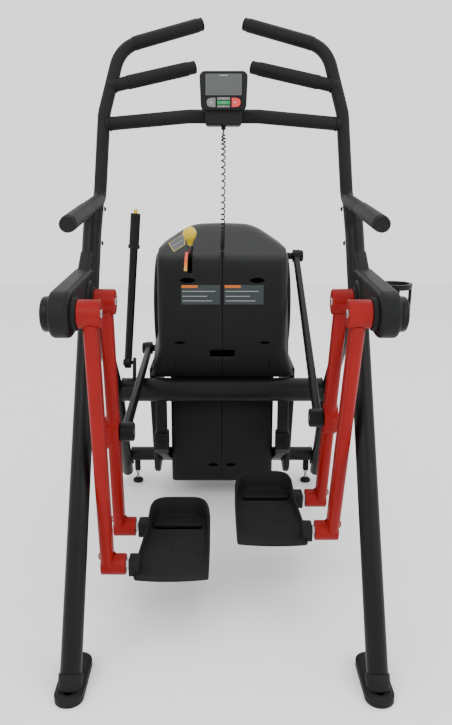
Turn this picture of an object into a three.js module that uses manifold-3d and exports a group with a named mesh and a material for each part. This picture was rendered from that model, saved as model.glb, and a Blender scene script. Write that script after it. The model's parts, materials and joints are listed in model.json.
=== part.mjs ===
// Climbing machine with two linked swing-arm pedals, a crank drive and an upright handlebar frame.
// Millimetres. +X is the user's right, +Y is the way the user faces, +Z is up, the floor is Z = 0.
import * as THREE from 'three';
import { mergeVertices } from 'three/addons/utils/BufferGeometryUtils.js';
import Module from 'manifold-3d';

const wasm = await Module();
wasm.setup();

// ---- Driving dimensions ----
const GAP = 0.3; // clearance between touching pieces
const LEG_RADIUS = 28.5;
const BAR_RADIUS = 20; // handlebars, grips and the console crossbar
const LEG_X = 402;
const FOOT_Y = -448;
const HIP_Y = 180;
const HIP_Z = 1155;
const SOCKET_TOP = [391, 184, 1256];
const BAR_CORNERS = [
  [370, -328, 1202], [374, 178, 1250], [359, 228, 1499], [313, 300, 1697], [68, 380, 1778],
];
const FOOT_THICKNESS = 26;
const FOOT_LENGTH = 200;
const FOOT_WIDTH = 76;

const REAR_HIP = [-252.5, 975]; // pivot of the rear arm, as Y and Z
const FRONT_HIP = [1, 965]; // pivot of the front arm
const ARM_LENGTH = 770;
const ARM_INNER_X = 322;
const ARM_OUTER_X = 358;
const ARM_DEPTH = 62;
const LEFT_SWING = 7.604; // degrees from hanging straight down, towards the front
const RIGHT_SWING = 18.636;
const ROD_JOINT = 420; // distance down the front arm to the rod's joint
const ROD_LENGTH = 839;
const CRANK = [870, 820];
const CRANK_THROW = 190;
const CRANK_LEAN = 6.5; // degrees that the right crank pin leans back from straight up
const DISC_RADIUS = 207;

const FRAME_X = 405;
const CROSS_TUBE = [580, 530];
const CROSS_RADIUS = 45;
const LOW_TUBE = [910, 137];
const LOW_RADIUS = 30;
const FLYWHEEL = [930, 350];

const FRAME_BLACK = { color: 0x1b1c1c, roughness: 0.45, metalness: 0.2 };
const PLASTIC = { color: 0x2c2d2d, roughness: 0.6, metalness: 0 };
const RUBBER = { color: 0x151515, roughness: 0.9, metalness: 0 };
const ARM_RED = { color: 0xa82622, roughness: 0.45, metalness: 0.1 };
const STEEL = { color: 0xa8a8a8, roughness: 0.3, metalness: 0.9 };
const YELLOW = { color: 0xcfb53c, roughness: 0.4, metalness: 0 };

const X_AXIS = new THREE.Vector3(1, 0, 0);
const Y_AXIS = new THREE.Vector3(0, 1, 0);
const Z_AXIS = new THREE.Vector3(0, 0, 1);
const machine = new THREE.Group();

// ---- Shape helpers ----
const radians = THREE.MathUtils.degToRad;

// Merges shared corners, drops collapsed triangles and turns the faces outwards.
function clean(geometry) {
  const bare = geometry.index ? geometry.toNonIndexed() : geometry.clone();
  for (const name of Object.keys(bare.attributes)) {
    if (name !== 'position') bare.deleteAttribute(name);
  }
  const merged = mergeVertices(bare, 1e-4);
  const position = merged.attributes.position;
  const corners = [];
  for (let i = 0; i < merged.index.count; i += 3) {
    const [a, b, c] = [0, 1, 2].map((k) => merged.index.getX(i + k));
    if (a !== b && b !== c && c !== a) corners.push(a, b, c);
  }
  const at = (k) => new THREE.Vector3().fromBufferAttribute(position, corners[k]);
  let volume = 0;
  for (let i = 0; i < corners.length; i += 3) {
    volume += at(i).dot(at(i + 1).cross(at(i + 2))) / 6;
  }
  if (volume < 0) corners.reverse();
  merged.setIndex(corners);
  return merged;
}

function toManifold(geometry) {
  const ready = clean(geometry);
  const vertProperties = Float32Array.from(ready.attributes.position.array);
  const triVerts = Uint32Array.from(ready.index.array);
  return new wasm.Manifold(new wasm.Mesh({ numProp: 3, vertProperties, triVerts }));
}

function fromManifold(manifold) {
  const mesh = manifold.getMesh();
  const geometry = new THREE.BufferGeometry();
  geometry.setAttribute('position', new THREE.BufferAttribute(Float32Array.from(mesh.vertProperties), 3));
  geometry.setIndex(Array.from(mesh.triVerts));
  return geometry;
}

const join = (...parts) => fromManifold(parts.map(toManifold).reduce((a, b) => a.add(b)));
const cut = (body, ...tools) => {
  const solid = tools.map(toManifold).reduce((a, b) => a.subtract(b), toManifold(body));
  return fromManifold(solid);
};
const common = (a, b) => fromManifold(toManifold(a).intersect(toManifold(b)));

// Keeps the largest closed piece when a cut leaves slivers.
function keepLargest(geometry) {
  const pieces = toManifold(geometry).decompose();
  pieces.sort((a, b) => b.volume() - a.volume());
  return fromManifold(pieces[0]);
}

// A mirror copy across the machine's centre plane.
function mirrored(geometry) {
  return clean(geometry.clone().scale(-1, 1, 1));
}

// A route through corners whose rings sit only where the line bends.
class BentRoute extends THREE.Curve {
  constructor(corners, bendRadius, arcSteps = 5) {
    super();
    this.knots = BentRoute.round(corners.map((p) => new THREE.Vector3(...p)), bendRadius, arcSteps);
  }

  static round(corners, bendRadius, arcSteps) {
    const knots = [corners[0]];
    for (let i = 1; i < corners.length - 1; i += 1) {
      const back = corners[i - 1].clone().sub(corners[i]).normalize();
      const ahead = corners[i + 1].clone().sub(corners[i]).normalize();
      const turn = Math.PI - back.angleTo(ahead);
      const reach = bendRadius * Math.tan(turn / 2);
      const start = corners[i].clone().addScaledVector(back, reach);
      const end = corners[i].clone().addScaledVector(ahead, reach);
      const arc = new THREE.QuadraticBezierCurve3(start, corners[i], end);
      knots.push(...arc.getPoints(arcSteps));
    }
    knots.push(corners.at(-1));
    return knots;
  }

  getPoint(t) {
    const place = t * (this.knots.length - 1);
    const i = Math.min(Math.floor(place), this.knots.length - 2);
    return this.knots[i].clone().lerp(this.knots[i + 1], place - i);
  }

  getPointAt(u) {
    return this.getPoint(u);
  }

  getTangentAt(u) {
    const i = Math.round(u * (this.knots.length - 1));
    const before = this.knots[Math.max(i - 1, 0)];
    const here = this.knots[i];
    const after = this.knots[Math.min(i + 1, this.knots.length - 1)];
    const arriving = here.clone().sub(before).normalize();
    const leaving = after.clone().sub(here).normalize();
    return arriving.add(leaving).normalize();
  }
}

function circlePoints(radius, sides) {
  return Array.from({ length: sides }, (_, i) => {
    const angle = (2 * Math.PI * i) / sides;
    return new THREE.Vector2(radius * Math.cos(angle), radius * Math.sin(angle));
  });
}

function tube(corners, radius, { bend = 60, sides = 16, arcSteps = 5 } = {}) {
  const route = new BentRoute(corners, bend, arcSteps);
  return new THREE.ExtrudeGeometry(new THREE.Shape(circlePoints(radius, sides)), {
    steps: route.knots.length - 1,
    extrudePath: route,
  });
}

// A flat piece of the shape's outline with an optional chamfer, standing on z = 0.
function plate(shape, thickness, bevel, curveSegments) {
  const geometry = new THREE.ExtrudeGeometry(shape, {
    depth: thickness - 2 * bevel,
    bevelEnabled: bevel > 0,
    bevelSize: bevel,
    bevelThickness: bevel,
    bevelOffset: -bevel,
    bevelSegments: 1,
    curveSegments,
  });
  return geometry.translate(0, 0, bevel);
}

// A plate whose outline is drawn in Y and Z, from x = from to x = to.
function sidePlate(shape, from, to, bevel = 0, curveSegments = 6) {
  const geometry = plate(shape, to - from, bevel, curveSegments).translate(0, 0, from);
  return geometry.applyMatrix4(new THREE.Matrix4().makeBasis(Y_AXIS, Z_AXIS, X_AXIS));
}

// A plate whose outline is drawn in X and Z, from y = from to y = to.
function wallPlate(shape, from, to, bevel = 0) {
  return plate(shape, to - from, bevel, 3).rotateX(Math.PI / 2).translate(0, to, 0);
}

// A plate whose outline is drawn in X and Y, from z = from to z = to.
function flatPlate(shape, from, to, bevel = 0) {
  return plate(shape, to - from, bevel, 4).translate(0, 0, from);
}

const polygon = (points) => new THREE.Shape(points.map(([a, b]) => new THREE.Vector2(a, b)));

function roundedRectangle(a0, b0, a1, b1, radius) {
  const shape = new THREE.Shape();
  shape.moveTo(a0 + radius, b0);
  shape.lineTo(a1 - radius, b0);
  shape.absarc(a1 - radius, b0 + radius, radius, -Math.PI / 2, 0, false);
  shape.lineTo(a1, b1 - radius);
  shape.absarc(a1 - radius, b1 - radius, radius, 0, Math.PI / 2, false);
  shape.lineTo(a0 + radius, b1);
  shape.absarc(a0 + radius, b1 - radius, radius, Math.PI / 2, Math.PI, false);
  shape.lineTo(a0, b0 + radius);
  shape.absarc(a0 + radius, b0 + radius, radius, Math.PI, 1.5 * Math.PI, false);
  return shape;
}

// The outline that wraps two circles, like a belt around two pulleys.
function beltOutline([a0, b0], r0, [a1, b1], r1) {
  const along = Math.atan2(b1 - b0, a1 - a0);
  const spread = Math.acos((r0 - r1) / Math.hypot(a1 - a0, b1 - b0));
  const shape = new THREE.Shape();
  shape.absarc(a0, b0, r0, along + spread, along - spread + 2 * Math.PI, false);
  shape.absarc(a1, b1, r1, along - spread, along + spread, false);
  return shape;
}

// A solid turned about a line along X through the point given as Y and Z. Profile rows are x and radius.
function turnedX(profile, [y, z], sides = 16) {
  const points = profile.map(([x, radius]) => new THREE.Vector2(radius, x));
  const geometry = new THREE.LatheGeometry(points, sides);
  geometry.rotateZ(-Math.PI / 2);
  return geometry.translate(0, y, z);
}

// A solid turned about a vertical line. Profile rows are z and radius.
function turnedZ(profile, [x, y], sides = 16) {
  const points = profile.map(([z, radius]) => new THREE.Vector2(radius, z));
  const geometry = new THREE.LatheGeometry(points, sides);
  geometry.rotateX(Math.PI / 2);
  return geometry.translate(x, y, 0);
}

function drumX(from, to, radius, centre, sides = 16) {
  return turnedX([[from, 0], [from, radius], [to, radius], [to, 0]], centre, sides);
}

function box(x0, x1, y0, y1, z0, z1) {
  const block = new THREE.BoxGeometry(x1 - x0, y1 - y0, z1 - z0);
  return block.translate((x0 + x1) / 2, (y0 + y1) / 2, (z0 + z1) / 2);
}

function add(name, geometry, look) {
  const mesh = new THREE.Mesh(clean(geometry), new THREE.MeshStandardMaterial(look));
  mesh.name = name;
  machine.add(mesh);
}

// Adds a piece drawn on the right side, and its mirror copy on the left.
function addPair(name, geometry, look) {
  add(`${name}_right`, geometry, look);
  add(`${name}_left`, mirrored(geometry), look);
}

// One bent tube: side handle, elbow, upright, top bend and top grip.
function handlebarTube(radius, sidesOfBar = 14) {
  const elbow = new BentRoute(BAR_CORNERS.slice(0, 3), 46, 5);
  const top = new BentRoute(BAR_CORNERS.slice(1), 120, 5);
  const route = new BentRoute(BAR_CORNERS.slice(0, 2), 0);
  route.knots = [...elbow.knots.slice(0, -1), ...top.knots.slice(1)];
  return new THREE.ExtrudeGeometry(new THREE.Shape(circlePoints(radius, sidesOfBar)), {
    steps: route.knots.length - 1,
    extrudePath: route,
  });
}
const clearOfBar = handlebarTube(BAR_RADIUS + GAP);

// ---- Rear legs, hips and feet ----
const legCorners = [[LEG_X, FOOT_Y - 20, -36.8], [LEG_X, HIP_Y, HIP_Z], SOCKET_TOP];
const legTube = (radius) => tube(legCorners, radius, { bend: 120 });
const underFoot = box(LEG_X - 80, LEG_X + 80, FOOT_Y - 120, FOOT_Y + 80, -90, FOOT_THICKNESS + GAP);
addPair('rear_leg', keepLargest(cut(legTube(LEG_RADIUS), underFoot, clearOfBar)), FRAME_BLACK);

function footPad() {
  const back = FOOT_Y - 44;
  const outline = roundedRectangle(
    LEG_X - FOOT_WIDTH / 2, back, LEG_X + FOOT_WIDTH / 2, back + FOOT_LENGTH, FOOT_WIDTH / 2 - 1);
  return flatPlate(outline, 0, FOOT_THICKNESS, 4);
}
addPair('rear_foot', footPad(), RUBBER);

const HIP_KNEE = [60, 1000]; // middle of the bracket's round front end
const HIP_INNER_X = 385;
const HIP_OUTER_X = 438;
const HUB_INNER_X = 312;
const HUB_OUTER_X = 371;
const PIN_RADIUS = 12;

function hipPin(pivot) {
  const collarEnd = HUB_OUTER_X + GAP;
  return turnedX([
    [HUB_INNER_X + 2, 0], [HUB_INNER_X + 2, PIN_RADIUS], [collarEnd, PIN_RADIUS], [collarEnd, 43],
    [HIP_INNER_X + 4, 43], [HIP_INNER_X + 4, 0],
  ], pivot);
}

function hipBracket() {
  const arm = sidePlate(beltOutline(REAR_HIP, 53, HIP_KNEE, 64), HIP_INNER_X, HIP_OUTER_X, 8);
  const gussetOutline = beltOutline(HIP_KNEE, 60, [118, 1075], 22);
  const gusset = sidePlate(gussetOutline, HIP_INNER_X + 8, HIP_OUTER_X - 14, 4);
  const backing = drumX(HIP_INNER_X - 6, HIP_INNER_X + 4, 62, FRONT_HIP, 20);
  const solid = join(arm, gusset, backing, hipPin(REAR_HIP), hipPin(FRONT_HIP));
  return cut(solid, legTube(LEG_RADIUS + GAP));
}
addPair('hip_bracket', hipBracket(), PLASTIC);

const pivotCap = turnedX([
  [HIP_OUTER_X + GAP, 0], [HIP_OUTER_X + GAP, 45.5], [455, 45.5], [460, 40], [460, 30], [456, 27], [456, 0],
], REAR_HIP, 20);
addPair('pivot_cap', pivotCap, FRAME_BLACK);

// ---- Front frame ----
const sideCorners = [[FRAME_X, 150, 955], [FRAME_X, ...CROSS_TUBE], [FRAME_X + 20, 960, 32]];
const SIDE_RADIUS = 25;
const sideTube = (radius) => tube(sideCorners, radius, { bend: 260, sides: 14 });
const crossTube = drumX(-FRAME_X + 14, FRAME_X - 14, CROSS_RADIUS, CROSS_TUBE, 20);
const lowTube = drumX(-FRAME_X, FRAME_X, LOW_RADIUS, LOW_TUBE, 16);
const bothSides = (geometry) => [geometry, mirrored(geometry)];
const footHole = box(FRAME_X - 60, FRAME_X + 80, 880, 1040, -60, 0.5);
const sideFrame = cut(sideTube(SIDE_RADIUS), footHole, hipBracket(), legTube(LEG_RADIUS + GAP));
addPair('side_frame', keepLargest(sideFrame), FRAME_BLACK);

add('main_cross_tube', keepLargest(cut(crossTube, ...bothSides(sideTube(SIDE_RADIUS + GAP)))), FRAME_BLACK);

const LEVELER = [375, 922];
const sleeve = turnedZ([[58, 6.4], [58, 13], [120, 13], [120, 6.4], [58, 6.4]], LEVELER);
const leveler = turnedZ([
  [0, 0], [0, 20], [3, 22.5], [12, 22.5], [20, 12], [24, 6], [104, 6], [104, 0],
], LEVELER);
const levelerBore = turnedZ([[50, 0], [50, 6.4], [110, 6.4], [110, 0]], LEVELER);
const sleeves = bothSides(sleeve);
const lowFrame = join(lowTube, ...sleeves);
const lowCut = cut(lowFrame, ...bothSides(sideTube(SIDE_RADIUS + GAP)), ...bothSides(levelerBore));
add('lower_cross_tube', keepLargest(lowCut), FRAME_BLACK);
addPair('leveler', leveler, STEEL);

const postOutline = polygon([
  [580, 520], [580, 270], [880, 118], [900, 158], [624, 300], [624, 520],
]);
const POST_X = [216, 258];
const post = cut(
  sidePlate(postOutline, ...POST_X),
  drumX(200, 280, CROSS_RADIUS + GAP, CROSS_TUBE, 20),
  drumX(200, 280, LOW_RADIUS + GAP, LOW_TUBE, 16),
);
addPair('inner_post', keepLargest(post), FRAME_BLACK);

// ---- Covers: the upper shell over the crank and the lower shell over the flywheel ----
const WALL = 4;
const SHELL_X = 243; // half the width of the upper shell
const LOW_SHELL_X = 209;

function upperOutline(inset) {
  const i = inset;
  const shape = new THREE.Shape();
  shape.moveTo(690 + i, 612 + i);
  shape.lineTo(606 + i, 573 + i);
  shape.lineTo(576 + i, 666);
  shape.lineTo(572 + i, 687);
  shape.quadraticCurveTo(558 + i, 750, 558 + i, 830);
  shape.lineTo(575 + i, 990);
  shape.quadraticCurveTo(582 + i, 1030 - i, 630 + i, 1044 - i);
  shape.lineTo(900, 1140 - i);
  shape.quadraticCurveTo(990 - i, 1166 - i, 1040 - i, 1110 - i);
  shape.quadraticCurveTo(1120 - i, 1000, 1122 - i, 820);
  shape.lineTo(1100 - i, 612 + i);
  return shape;
}

// The shell narrows towards its top, so its corners are cut by sloping planes.
function shoulder(inset) {
  const half = SHELL_X - inset;
  const front = new THREE.Shape();
  front.moveTo(-0.4 - inset, 500);
  front.lineTo(half, 500);
  front.lineTo(half, 1057 - inset);
  front.lineTo(half - 78, 1108 - inset);
  front.quadraticCurveTo(half - 119, 1133 - inset, half - 163, 1135 - inset);
  front.lineTo(-0.4 - inset, 1138 - inset);
  return front;
}

function upperHalf() {
  const shell = (inset, from, to) => common(
    sidePlate(upperOutline(inset), from, to),
    wallPlate(shoulder(inset), 500, 1200),
  );
  const outer = shell(0, GAP / 2, SHELL_X + 4);
  const inner = shell(WALL, -30, SHELL_X - WALL);
  const floorOpening = box(-10, SHELL_X - WALL, 700, 1090, 560, 640);
  const axleHole = drumX(200, 300, 30, CRANK);
  const flare = wallPlate(polygon([[225, 575], [280, 575], [243.5, 684], [225, 684]]), 602, 630);
  return join(cut(outer, inner, floorOpening, axleHole), flare);
}
const rightUpper = upperHalf();
const leverSlot = box(-126, -112, 530, 690, 978, 1060);
const leftUpper = cut(mirrored(rightUpper), leverSlot);
const SLOT_HALF = 46;
const frontSlot = box(-SLOT_HALF, SLOT_HALF, 540, 640, 660, 687);
const cordHole = turnedZ([[1000, 0], [1000, 8], [1070, 8], [1070, 0]], [0, 612]);
add('upper_cover_right', keepLargest(cut(rightUpper, frontSlot, cordHole)), PLASTIC);
add('upper_cover_left', keepLargest(cut(leftUpper, frontSlot, cordHole)), PLASTIC);

function lowerHalf() {
  const outline = (i, top) => polygon([
    [720 + i, 120], [736 + i, 80 + i], [1040 - i, 80 + i], [1090 - i, 180], [1108 - i, 420],
    [1108 - i, top], [720 + i, top],
  ]);
  const outer = sidePlate(outline(0, 560), GAP / 2, LOW_SHELL_X);
  const inner = sidePlate(outline(WALL, 620), -10, LOW_SHELL_X - WALL);
  const tubeHole = drumX(-20, 230, LOW_RADIUS + GAP, LOW_TUBE, 16);
  return cut(outer, inner, tubeHole);
}
addPair('lower_cover', keepLargest(lowerHalf()), PLASTIC);

function sideSkirt() {
  const outline = new THREE.Shape();
  outline.moveTo(640, 600);
  outline.lineTo(634, 480);
  outline.lineTo(752, 130);
  outline.quadraticCurveTo(800, 84, 860, 96);
  outline.quadraticCurveTo(1060, 130, 1110, 400);
  outline.lineTo(1125, 600);
  const plate = sidePlate(outline, 262, 284, 5);
  const discRoom = drumX(240, 300, DISC_RADIUS + 16, CRANK, 32);
  const postRoom = drumX(240, 300, LOW_RADIUS + GAP, LOW_TUBE, 16);
  return keepLargest(cut(plate, discRoom, postRoom));
}
addPair('side_skirt', sideSkirt(), PLASTIC);

// ---- Drive inside the covers ----
const DISC_INNER_X = 248;
const DISC_OUTER_X = 264;
const AXLE_RADIUS = 15;
const SHAFT_RADIUS = 10; // of the flywheel
add('crank_axle', drumX(-DISC_INNER_X + GAP, DISC_INNER_X - GAP, AXLE_RADIUS, CRANK), STEEL);
const disc = turnedX([
  [DISC_INNER_X, 0], [DISC_INNER_X, DISC_RADIUS], [DISC_OUTER_X - 5, DISC_RADIUS],
  [DISC_OUTER_X, DISC_RADIUS - 6], [DISC_OUTER_X, 0],
], CRANK, 32);
addPair('crank_disc', disc, FRAME_BLACK);

const BELT_X = [60, 80];
const PULLEY_RADIUS = 135;
const PINION_RADIUS = 32;
const ring = (radius, centre, hole) => turnedX([
  [BELT_X[0], hole], [BELT_X[0], radius], [BELT_X[1], radius], [BELT_X[1], hole], [BELT_X[0], hole],
], centre, 20);
add('drive_pulley', ring(PULLEY_RADIUS, CRANK, AXLE_RADIUS + GAP), STEEL);
const outerLoop = beltOutline(CRANK, PULLEY_RADIUS + 5, FLYWHEEL, PINION_RADIUS + 6);
const innerLoop = beltOutline(CRANK, PULLEY_RADIUS + 2, FLYWHEEL, PINION_RADIUS + 1.5);
const beltOuter = sidePlate(outerLoop, ...BELT_X, 0, 14);
const beltInner = sidePlate(innerLoop, BELT_X[0] - 5, BELT_X[1] + 5, 0, 14);
add('drive_belt', cut(beltOuter, beltInner), RUBBER);
const flywheel = turnedX([
  [-26, 0], [-26, 130], [14, 130], [14, 14], [BELT_X[0], 14], [BELT_X[0], PINION_RADIUS],
  [BELT_X[1], PINION_RADIUS], [BELT_X[1], SHAFT_RADIUS], [96, SHAFT_RADIUS], [96, 0],
], FLYWHEEL, 20);
add('flywheel', flywheel, STEEL);

function drivePlate() {
  const outline = polygon([
    [600, 566], [606, 570], [690, 606], [732, 606], [820, 880], [920, 880], [985, 350], [960, 175], [880, 175],
    [745, 330],
    [745, 568], [700, 568], [640, 545], [600, 545],
  ]);
  return cut(
    sidePlate(outline, 86, 96),
    drumX(80, 110, CROSS_RADIUS + GAP, CROSS_TUBE, 20),
    drumX(80, 110, AXLE_RADIUS + GAP, CRANK),
    drumX(80, 110, SHAFT_RADIUS + GAP, FLYWHEEL),
    drumX(80, 110, LOW_RADIUS + GAP, LOW_TUBE),
  );
}
add('drive_plate', drivePlate(), FRAME_BLACK);

const BRAKE_PIVOT = [760, 430];
const brakeOutline = beltOutline(BRAKE_PIVOT, 14, [773, 332], 17);
add('brake_magnet', sidePlate(brakeOutline, -28, 16, 2), STEEL);

// ---- Swing arms, rods and pedals ----
function below(pivot, distance, degrees) {
  const angle = radians(degrees);
  return [pivot[0] + distance * Math.sin(angle), pivot[1] - distance * Math.cos(angle)];
}

function hub(pivot) {
  return turnedX([
    [HUB_INNER_X, PIN_RADIUS + GAP], [HUB_INNER_X, 35], [HUB_INNER_X + 2, 37], [HUB_OUTER_X - 2, 37],
    [HUB_OUTER_X, 35], [HUB_OUTER_X, PIN_RADIUS + GAP], [HUB_INNER_X, PIN_RADIUS + GAP],
  ], pivot);
}

const STUB_INNER_X = 285;
const SPINDLE_RADIUS = 9;

// One arm on the right side: hub, flat tube and the stub that carries the pedal.
function swingArm(pivot, degrees) {
  const end = below(pivot, ARM_LENGTH, degrees);
  const start = below(pivot, 30, degrees);
  const half = ARM_DEPTH / 2;
  const bar = sidePlate(beltOutline(start, half, end, half - 2), ARM_INNER_X, ARM_OUTER_X, 6);
  const stub = turnedX([
    [STUB_INNER_X, 0], [STUB_INNER_X, 31], [ARM_OUTER_X - 2, 31], [ARM_OUTER_X, 29], [ARM_OUTER_X, 0],
  ], end);
  const hubRoom = drumX(HUB_INNER_X - 5, HUB_OUTER_X + 5, PIN_RADIUS + GAP, pivot);
  const spindleRoom = drumX(STUB_INNER_X - 5, STUB_INNER_X + 40, SPINDLE_RADIUS + GAP, end, 16);
  return cut(join(bar, stub, hub(pivot)), hubRoom, spindleRoom);
}

// The front arm also has the thick collar where the rod joins it.
function frontArm(degrees) {
  const middle = below(FRONT_HIP, ROD_JOINT, degrees);
  const upper = below(FRONT_HIP, ROD_JOINT - 26, degrees);
  const lower = below(FRONT_HIP, ROD_JOINT + 26, degrees);
  const collar = sidePlate(beltOutline(upper, 34, lower, 34), ARM_INNER_X, ARM_OUTER_X + 5, 5);
  const pinRoom = drumX(ARM_INNER_X - 5, ARM_INNER_X + 26, SPINDLE_RADIUS + GAP, middle, 16);
  return cut(join(swingArm(FRONT_HIP, degrees), collar), pinRoom);
}

const ROD_INNER_X = 289;
const ROD_OUTER_X = ARM_INNER_X - 2;

// A rod from the front arm to the crank, with an eye and a bolt at each end.
function rod(degrees, crankAngle) {
  const low = below(FRONT_HIP, ROD_JOINT, degrees);
  const high = [
    CRANK[0] - CRANK_THROW * Math.sin(radians(crankAngle)),
    CRANK[1] + CRANK_THROW * Math.cos(radians(crankAngle)),
  ];
  const bar = sidePlate(beltOutline(low, 21, high, 15), ROD_INNER_X + 2, ROD_OUTER_X - 4, 3);
  const lowEye = turnedX([
    [ROD_INNER_X - 13, 0], [ROD_INNER_X - 13, 24], [ROD_INNER_X - 8, 31], [ROD_INNER_X, 31],
    [ROD_INNER_X, 29],
    [ROD_OUTER_X - 2, 29], [ROD_OUTER_X, 27], [ROD_OUTER_X, SPINDLE_RADIUS],
    [ARM_INNER_X + 24, SPINDLE_RADIUS], [ARM_INNER_X + 24, 0],
  ], low);
  const highEye = turnedX([
    [DISC_OUTER_X + 1, 0], [DISC_OUTER_X + 1, 14], [ROD_INNER_X, 14], [ROD_INNER_X, 26],
    [ROD_OUTER_X, 26], [ROD_OUTER_X + 2, 25], [ROD_OUTER_X + 9, 24], [ROD_OUTER_X + 12, 19],
    [ROD_OUTER_X + 12, 0],
  ], high);
  return join(bar, lowEye, highEye);
}

const PEDAL_TOP = -14; // standing surface below the pivots
const PEDAL_THICKNESS = 18;
const TOE_HEIGHT = 52;
const PEDAL_INNER_X = 41;

function pedalOutline(pivot, inset) {
  const i = inset;
  const heel = pivot[0] - 48 + i;
  const toe = pivot[0] + 348 - i;
  const shape = new THREE.Shape();
  shape.moveTo(PEDAL_INNER_X + 4 + i, heel + 10);
  shape.quadraticCurveTo(155, heel - 10, 262 - i, heel + 8);
  shape.lineTo(262 - i, pivot[0] + 40);
  shape.lineTo(244 - i, toe - 90);
  shape.quadraticCurveTo(236 - i, toe, 190, toe);
  shape.lineTo(110, toe);
  shape.quadraticCurveTo(48 + i, toe, PEDAL_INNER_X + i, toe - 100);
  return shape;
}

function pedal(rearPivot) {
  const [y, z] = rearPivot;
  const front = [y + FRONT_HIP[0] - REAR_HIP[0], z + FRONT_HIP[1] - REAR_HIP[1]];
  const top = z + PEDAL_TOP;
  const deck = flatPlate(pedalOutline(rearPivot, 0), top - PEDAL_THICKNESS, top, 0);
  const wallBand = cut(
    flatPlate(pedalOutline(rearPivot, 0), top - 2, z + TOE_HEIGHT, 0),
    flatPlate(pedalOutline(rearPivot, 10), top - 10, z + TOE_HEIGHT + 20, 0));
  const trim = sidePlate(polygon([
    [y - 90, top + 4], [y + 30, top + 8], [y + 210, top + 24], [y + 300, top + 100], [y - 90, top + 100],
  ]), 0, 300);
  const boss = (centre, from) => turnedX([
    [from, 0], [from, 24], [STUB_INNER_X - 9, 24], [STUB_INNER_X - 7, 22], [STUB_INNER_X - 7, 15],
    [STUB_INNER_X - GAP, 15], [STUB_INNER_X - GAP, SPINDLE_RADIUS], [STUB_INNER_X + 34, SPINDLE_RADIUS],
    [STUB_INNER_X + 34, 0],
  ], centre, 14);
  const room = box(PEDAL_INNER_X + 14, 226, y - 30, y + 330, top + 0.1, top + 160);
  return cut(join(deck, cut(wallBand, trim), boss(rearPivot, 240), boss(front, 232)), room);
}

const sides = [
  { name: 'right', swing: RIGHT_SWING, crankAngle: CRANK_LEAN, place: (geometry) => geometry },
  { name: 'left', swing: LEFT_SWING, crankAngle: CRANK_LEAN + 180, place: mirrored },
];
for (const { name, swing, crankAngle, place } of sides) {
  add(`front_arm_${name}`, place(frontArm(swing)), ARM_RED);
  add(`rear_arm_${name}`, place(swingArm(REAR_HIP, swing)), ARM_RED);
  add(`rod_${name}`, place(rod(swing, crankAngle)), FRAME_BLACK);
  add(`pedal_${name}`, place(pedal(below(REAR_HIP, ARM_LENGTH, swing))), RUBBER);
}

// ---- Handlebars and console ----
addPair('handlebar', handlebarTube(BAR_RADIUS), FRAME_BLACK);
const midGrip = cut(tube([[341, 258, 1580], [90, 330, 1645]], BAR_RADIUS, { sides: 14 }), clearOfBar);
addPair('middle_grip', keepLargest(midGrip), FRAME_BLACK);

const crossbarCorners = [[-361, 221, 1469], [-104, 200, 1489], [104, 200, 1489], [361, 221, 1469]];
const crossbarTube = (radius) => tube(crossbarCorners, radius, { bend: 120, sides: 14, arcSteps: 3 });
const crossbar = cut(crossbarTube(BAR_RADIUS), ...bothSides(clearOfBar));
add('console_crossbar', keepLargest(crossbar), FRAME_BLACK);

const CONSOLE = { halfWidth: 69.5, bottom: 1500, top: 1608, front: 140, back: 186 };
const display = { x: 52.5, z0: 1541, z1: 1600 };
const KEY_TRAVEL = 2;
const KEY_DEPTH = 4.5;
function keyOutlines() {
  const low = 1509;
  const high = 1535;
  const sideKey = (inner, tip) => {
    const shape = new THREE.Shape();
    shape.moveTo(inner, low);
    shape.quadraticCurveTo(tip, low + 3, tip, (low + high) / 2);
    shape.quadraticCurveTo(tip, high - 3, inner, high);
    return shape;
  };
  return {
    key_mode: sideKey(-23, -49),
    key_up: polygon([[-19, 1528.5], [19, 1528.5], [19, high + 1.5], [-19, high + 1.5]]),
    key_start: polygon([[-19, 1516], [19, 1516], [19, 1527], [-19, 1527]]),
    key_down: polygon([[-19, low - 1], [19, low - 1], [19, 1514.5], [-19, 1514.5]]),
    key_stop: sideKey(23, 49),
  };
}

function consoleHousing() {
  const { halfWidth, bottom, top, front, back } = CONSOLE;
  const face = wallPlate(roundedRectangle(-halfWidth, bottom, halfWidth, top, 16), front, back, 5);
  const clamp = wallPlate(roundedRectangle(-54, 1461, 54, 1520, 7), front + 14, 229, 5);
  const displayRoom = box(-display.x, display.x, front - 5, front + 3, display.z0, display.z1);
  const keyRoom = (outline) => wallPlate(outline, front - 5, front + KEY_DEPTH);
  const keyRooms = Object.values(keyOutlines()).map(keyRoom);
  return cut(join(face, clamp), crossbarTube(BAR_RADIUS + GAP), displayRoom, ...keyRooms);
}
add('console_housing', keepLargest(consoleHousing()), PLASTIC);
add('display_lens', box(-display.x + GAP, display.x - GAP, CONSOLE.front + 0.4, CONSOLE.front + 3 - GAP,
  display.z0 + GAP, display.z1 - GAP), { color: 0x676967, roughness: 0.2, metalness: 0 });
const keyColours = { key_start: 0x17803f, key_stop: 0xd23a3a };
for (const [name, outline] of Object.entries(keyOutlines())) {
  const frame = new THREE.Box2().setFromPoints(outline.getPoints(6));
  const centre = frame.getCenter(new THREE.Vector2());
  const key = wallPlate(outline, CONSOLE.front - 2, CONSOLE.front + KEY_DEPTH - KEY_TRAVEL);
  const size = frame.getSize(new THREE.Vector2());
  const shrink = new THREE.Vector2(1 - (2 * GAP) / size.x, 1 - (2 * GAP) / size.y);
  key.translate(-centre.x, 0, -centre.y).scale(shrink.x, 1, shrink.y).translate(centre.x, 0, centre.y);
  add(name, key, { color: keyColours[name] ?? 0x676967, roughness: 0.5, metalness: 0 });
}

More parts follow.
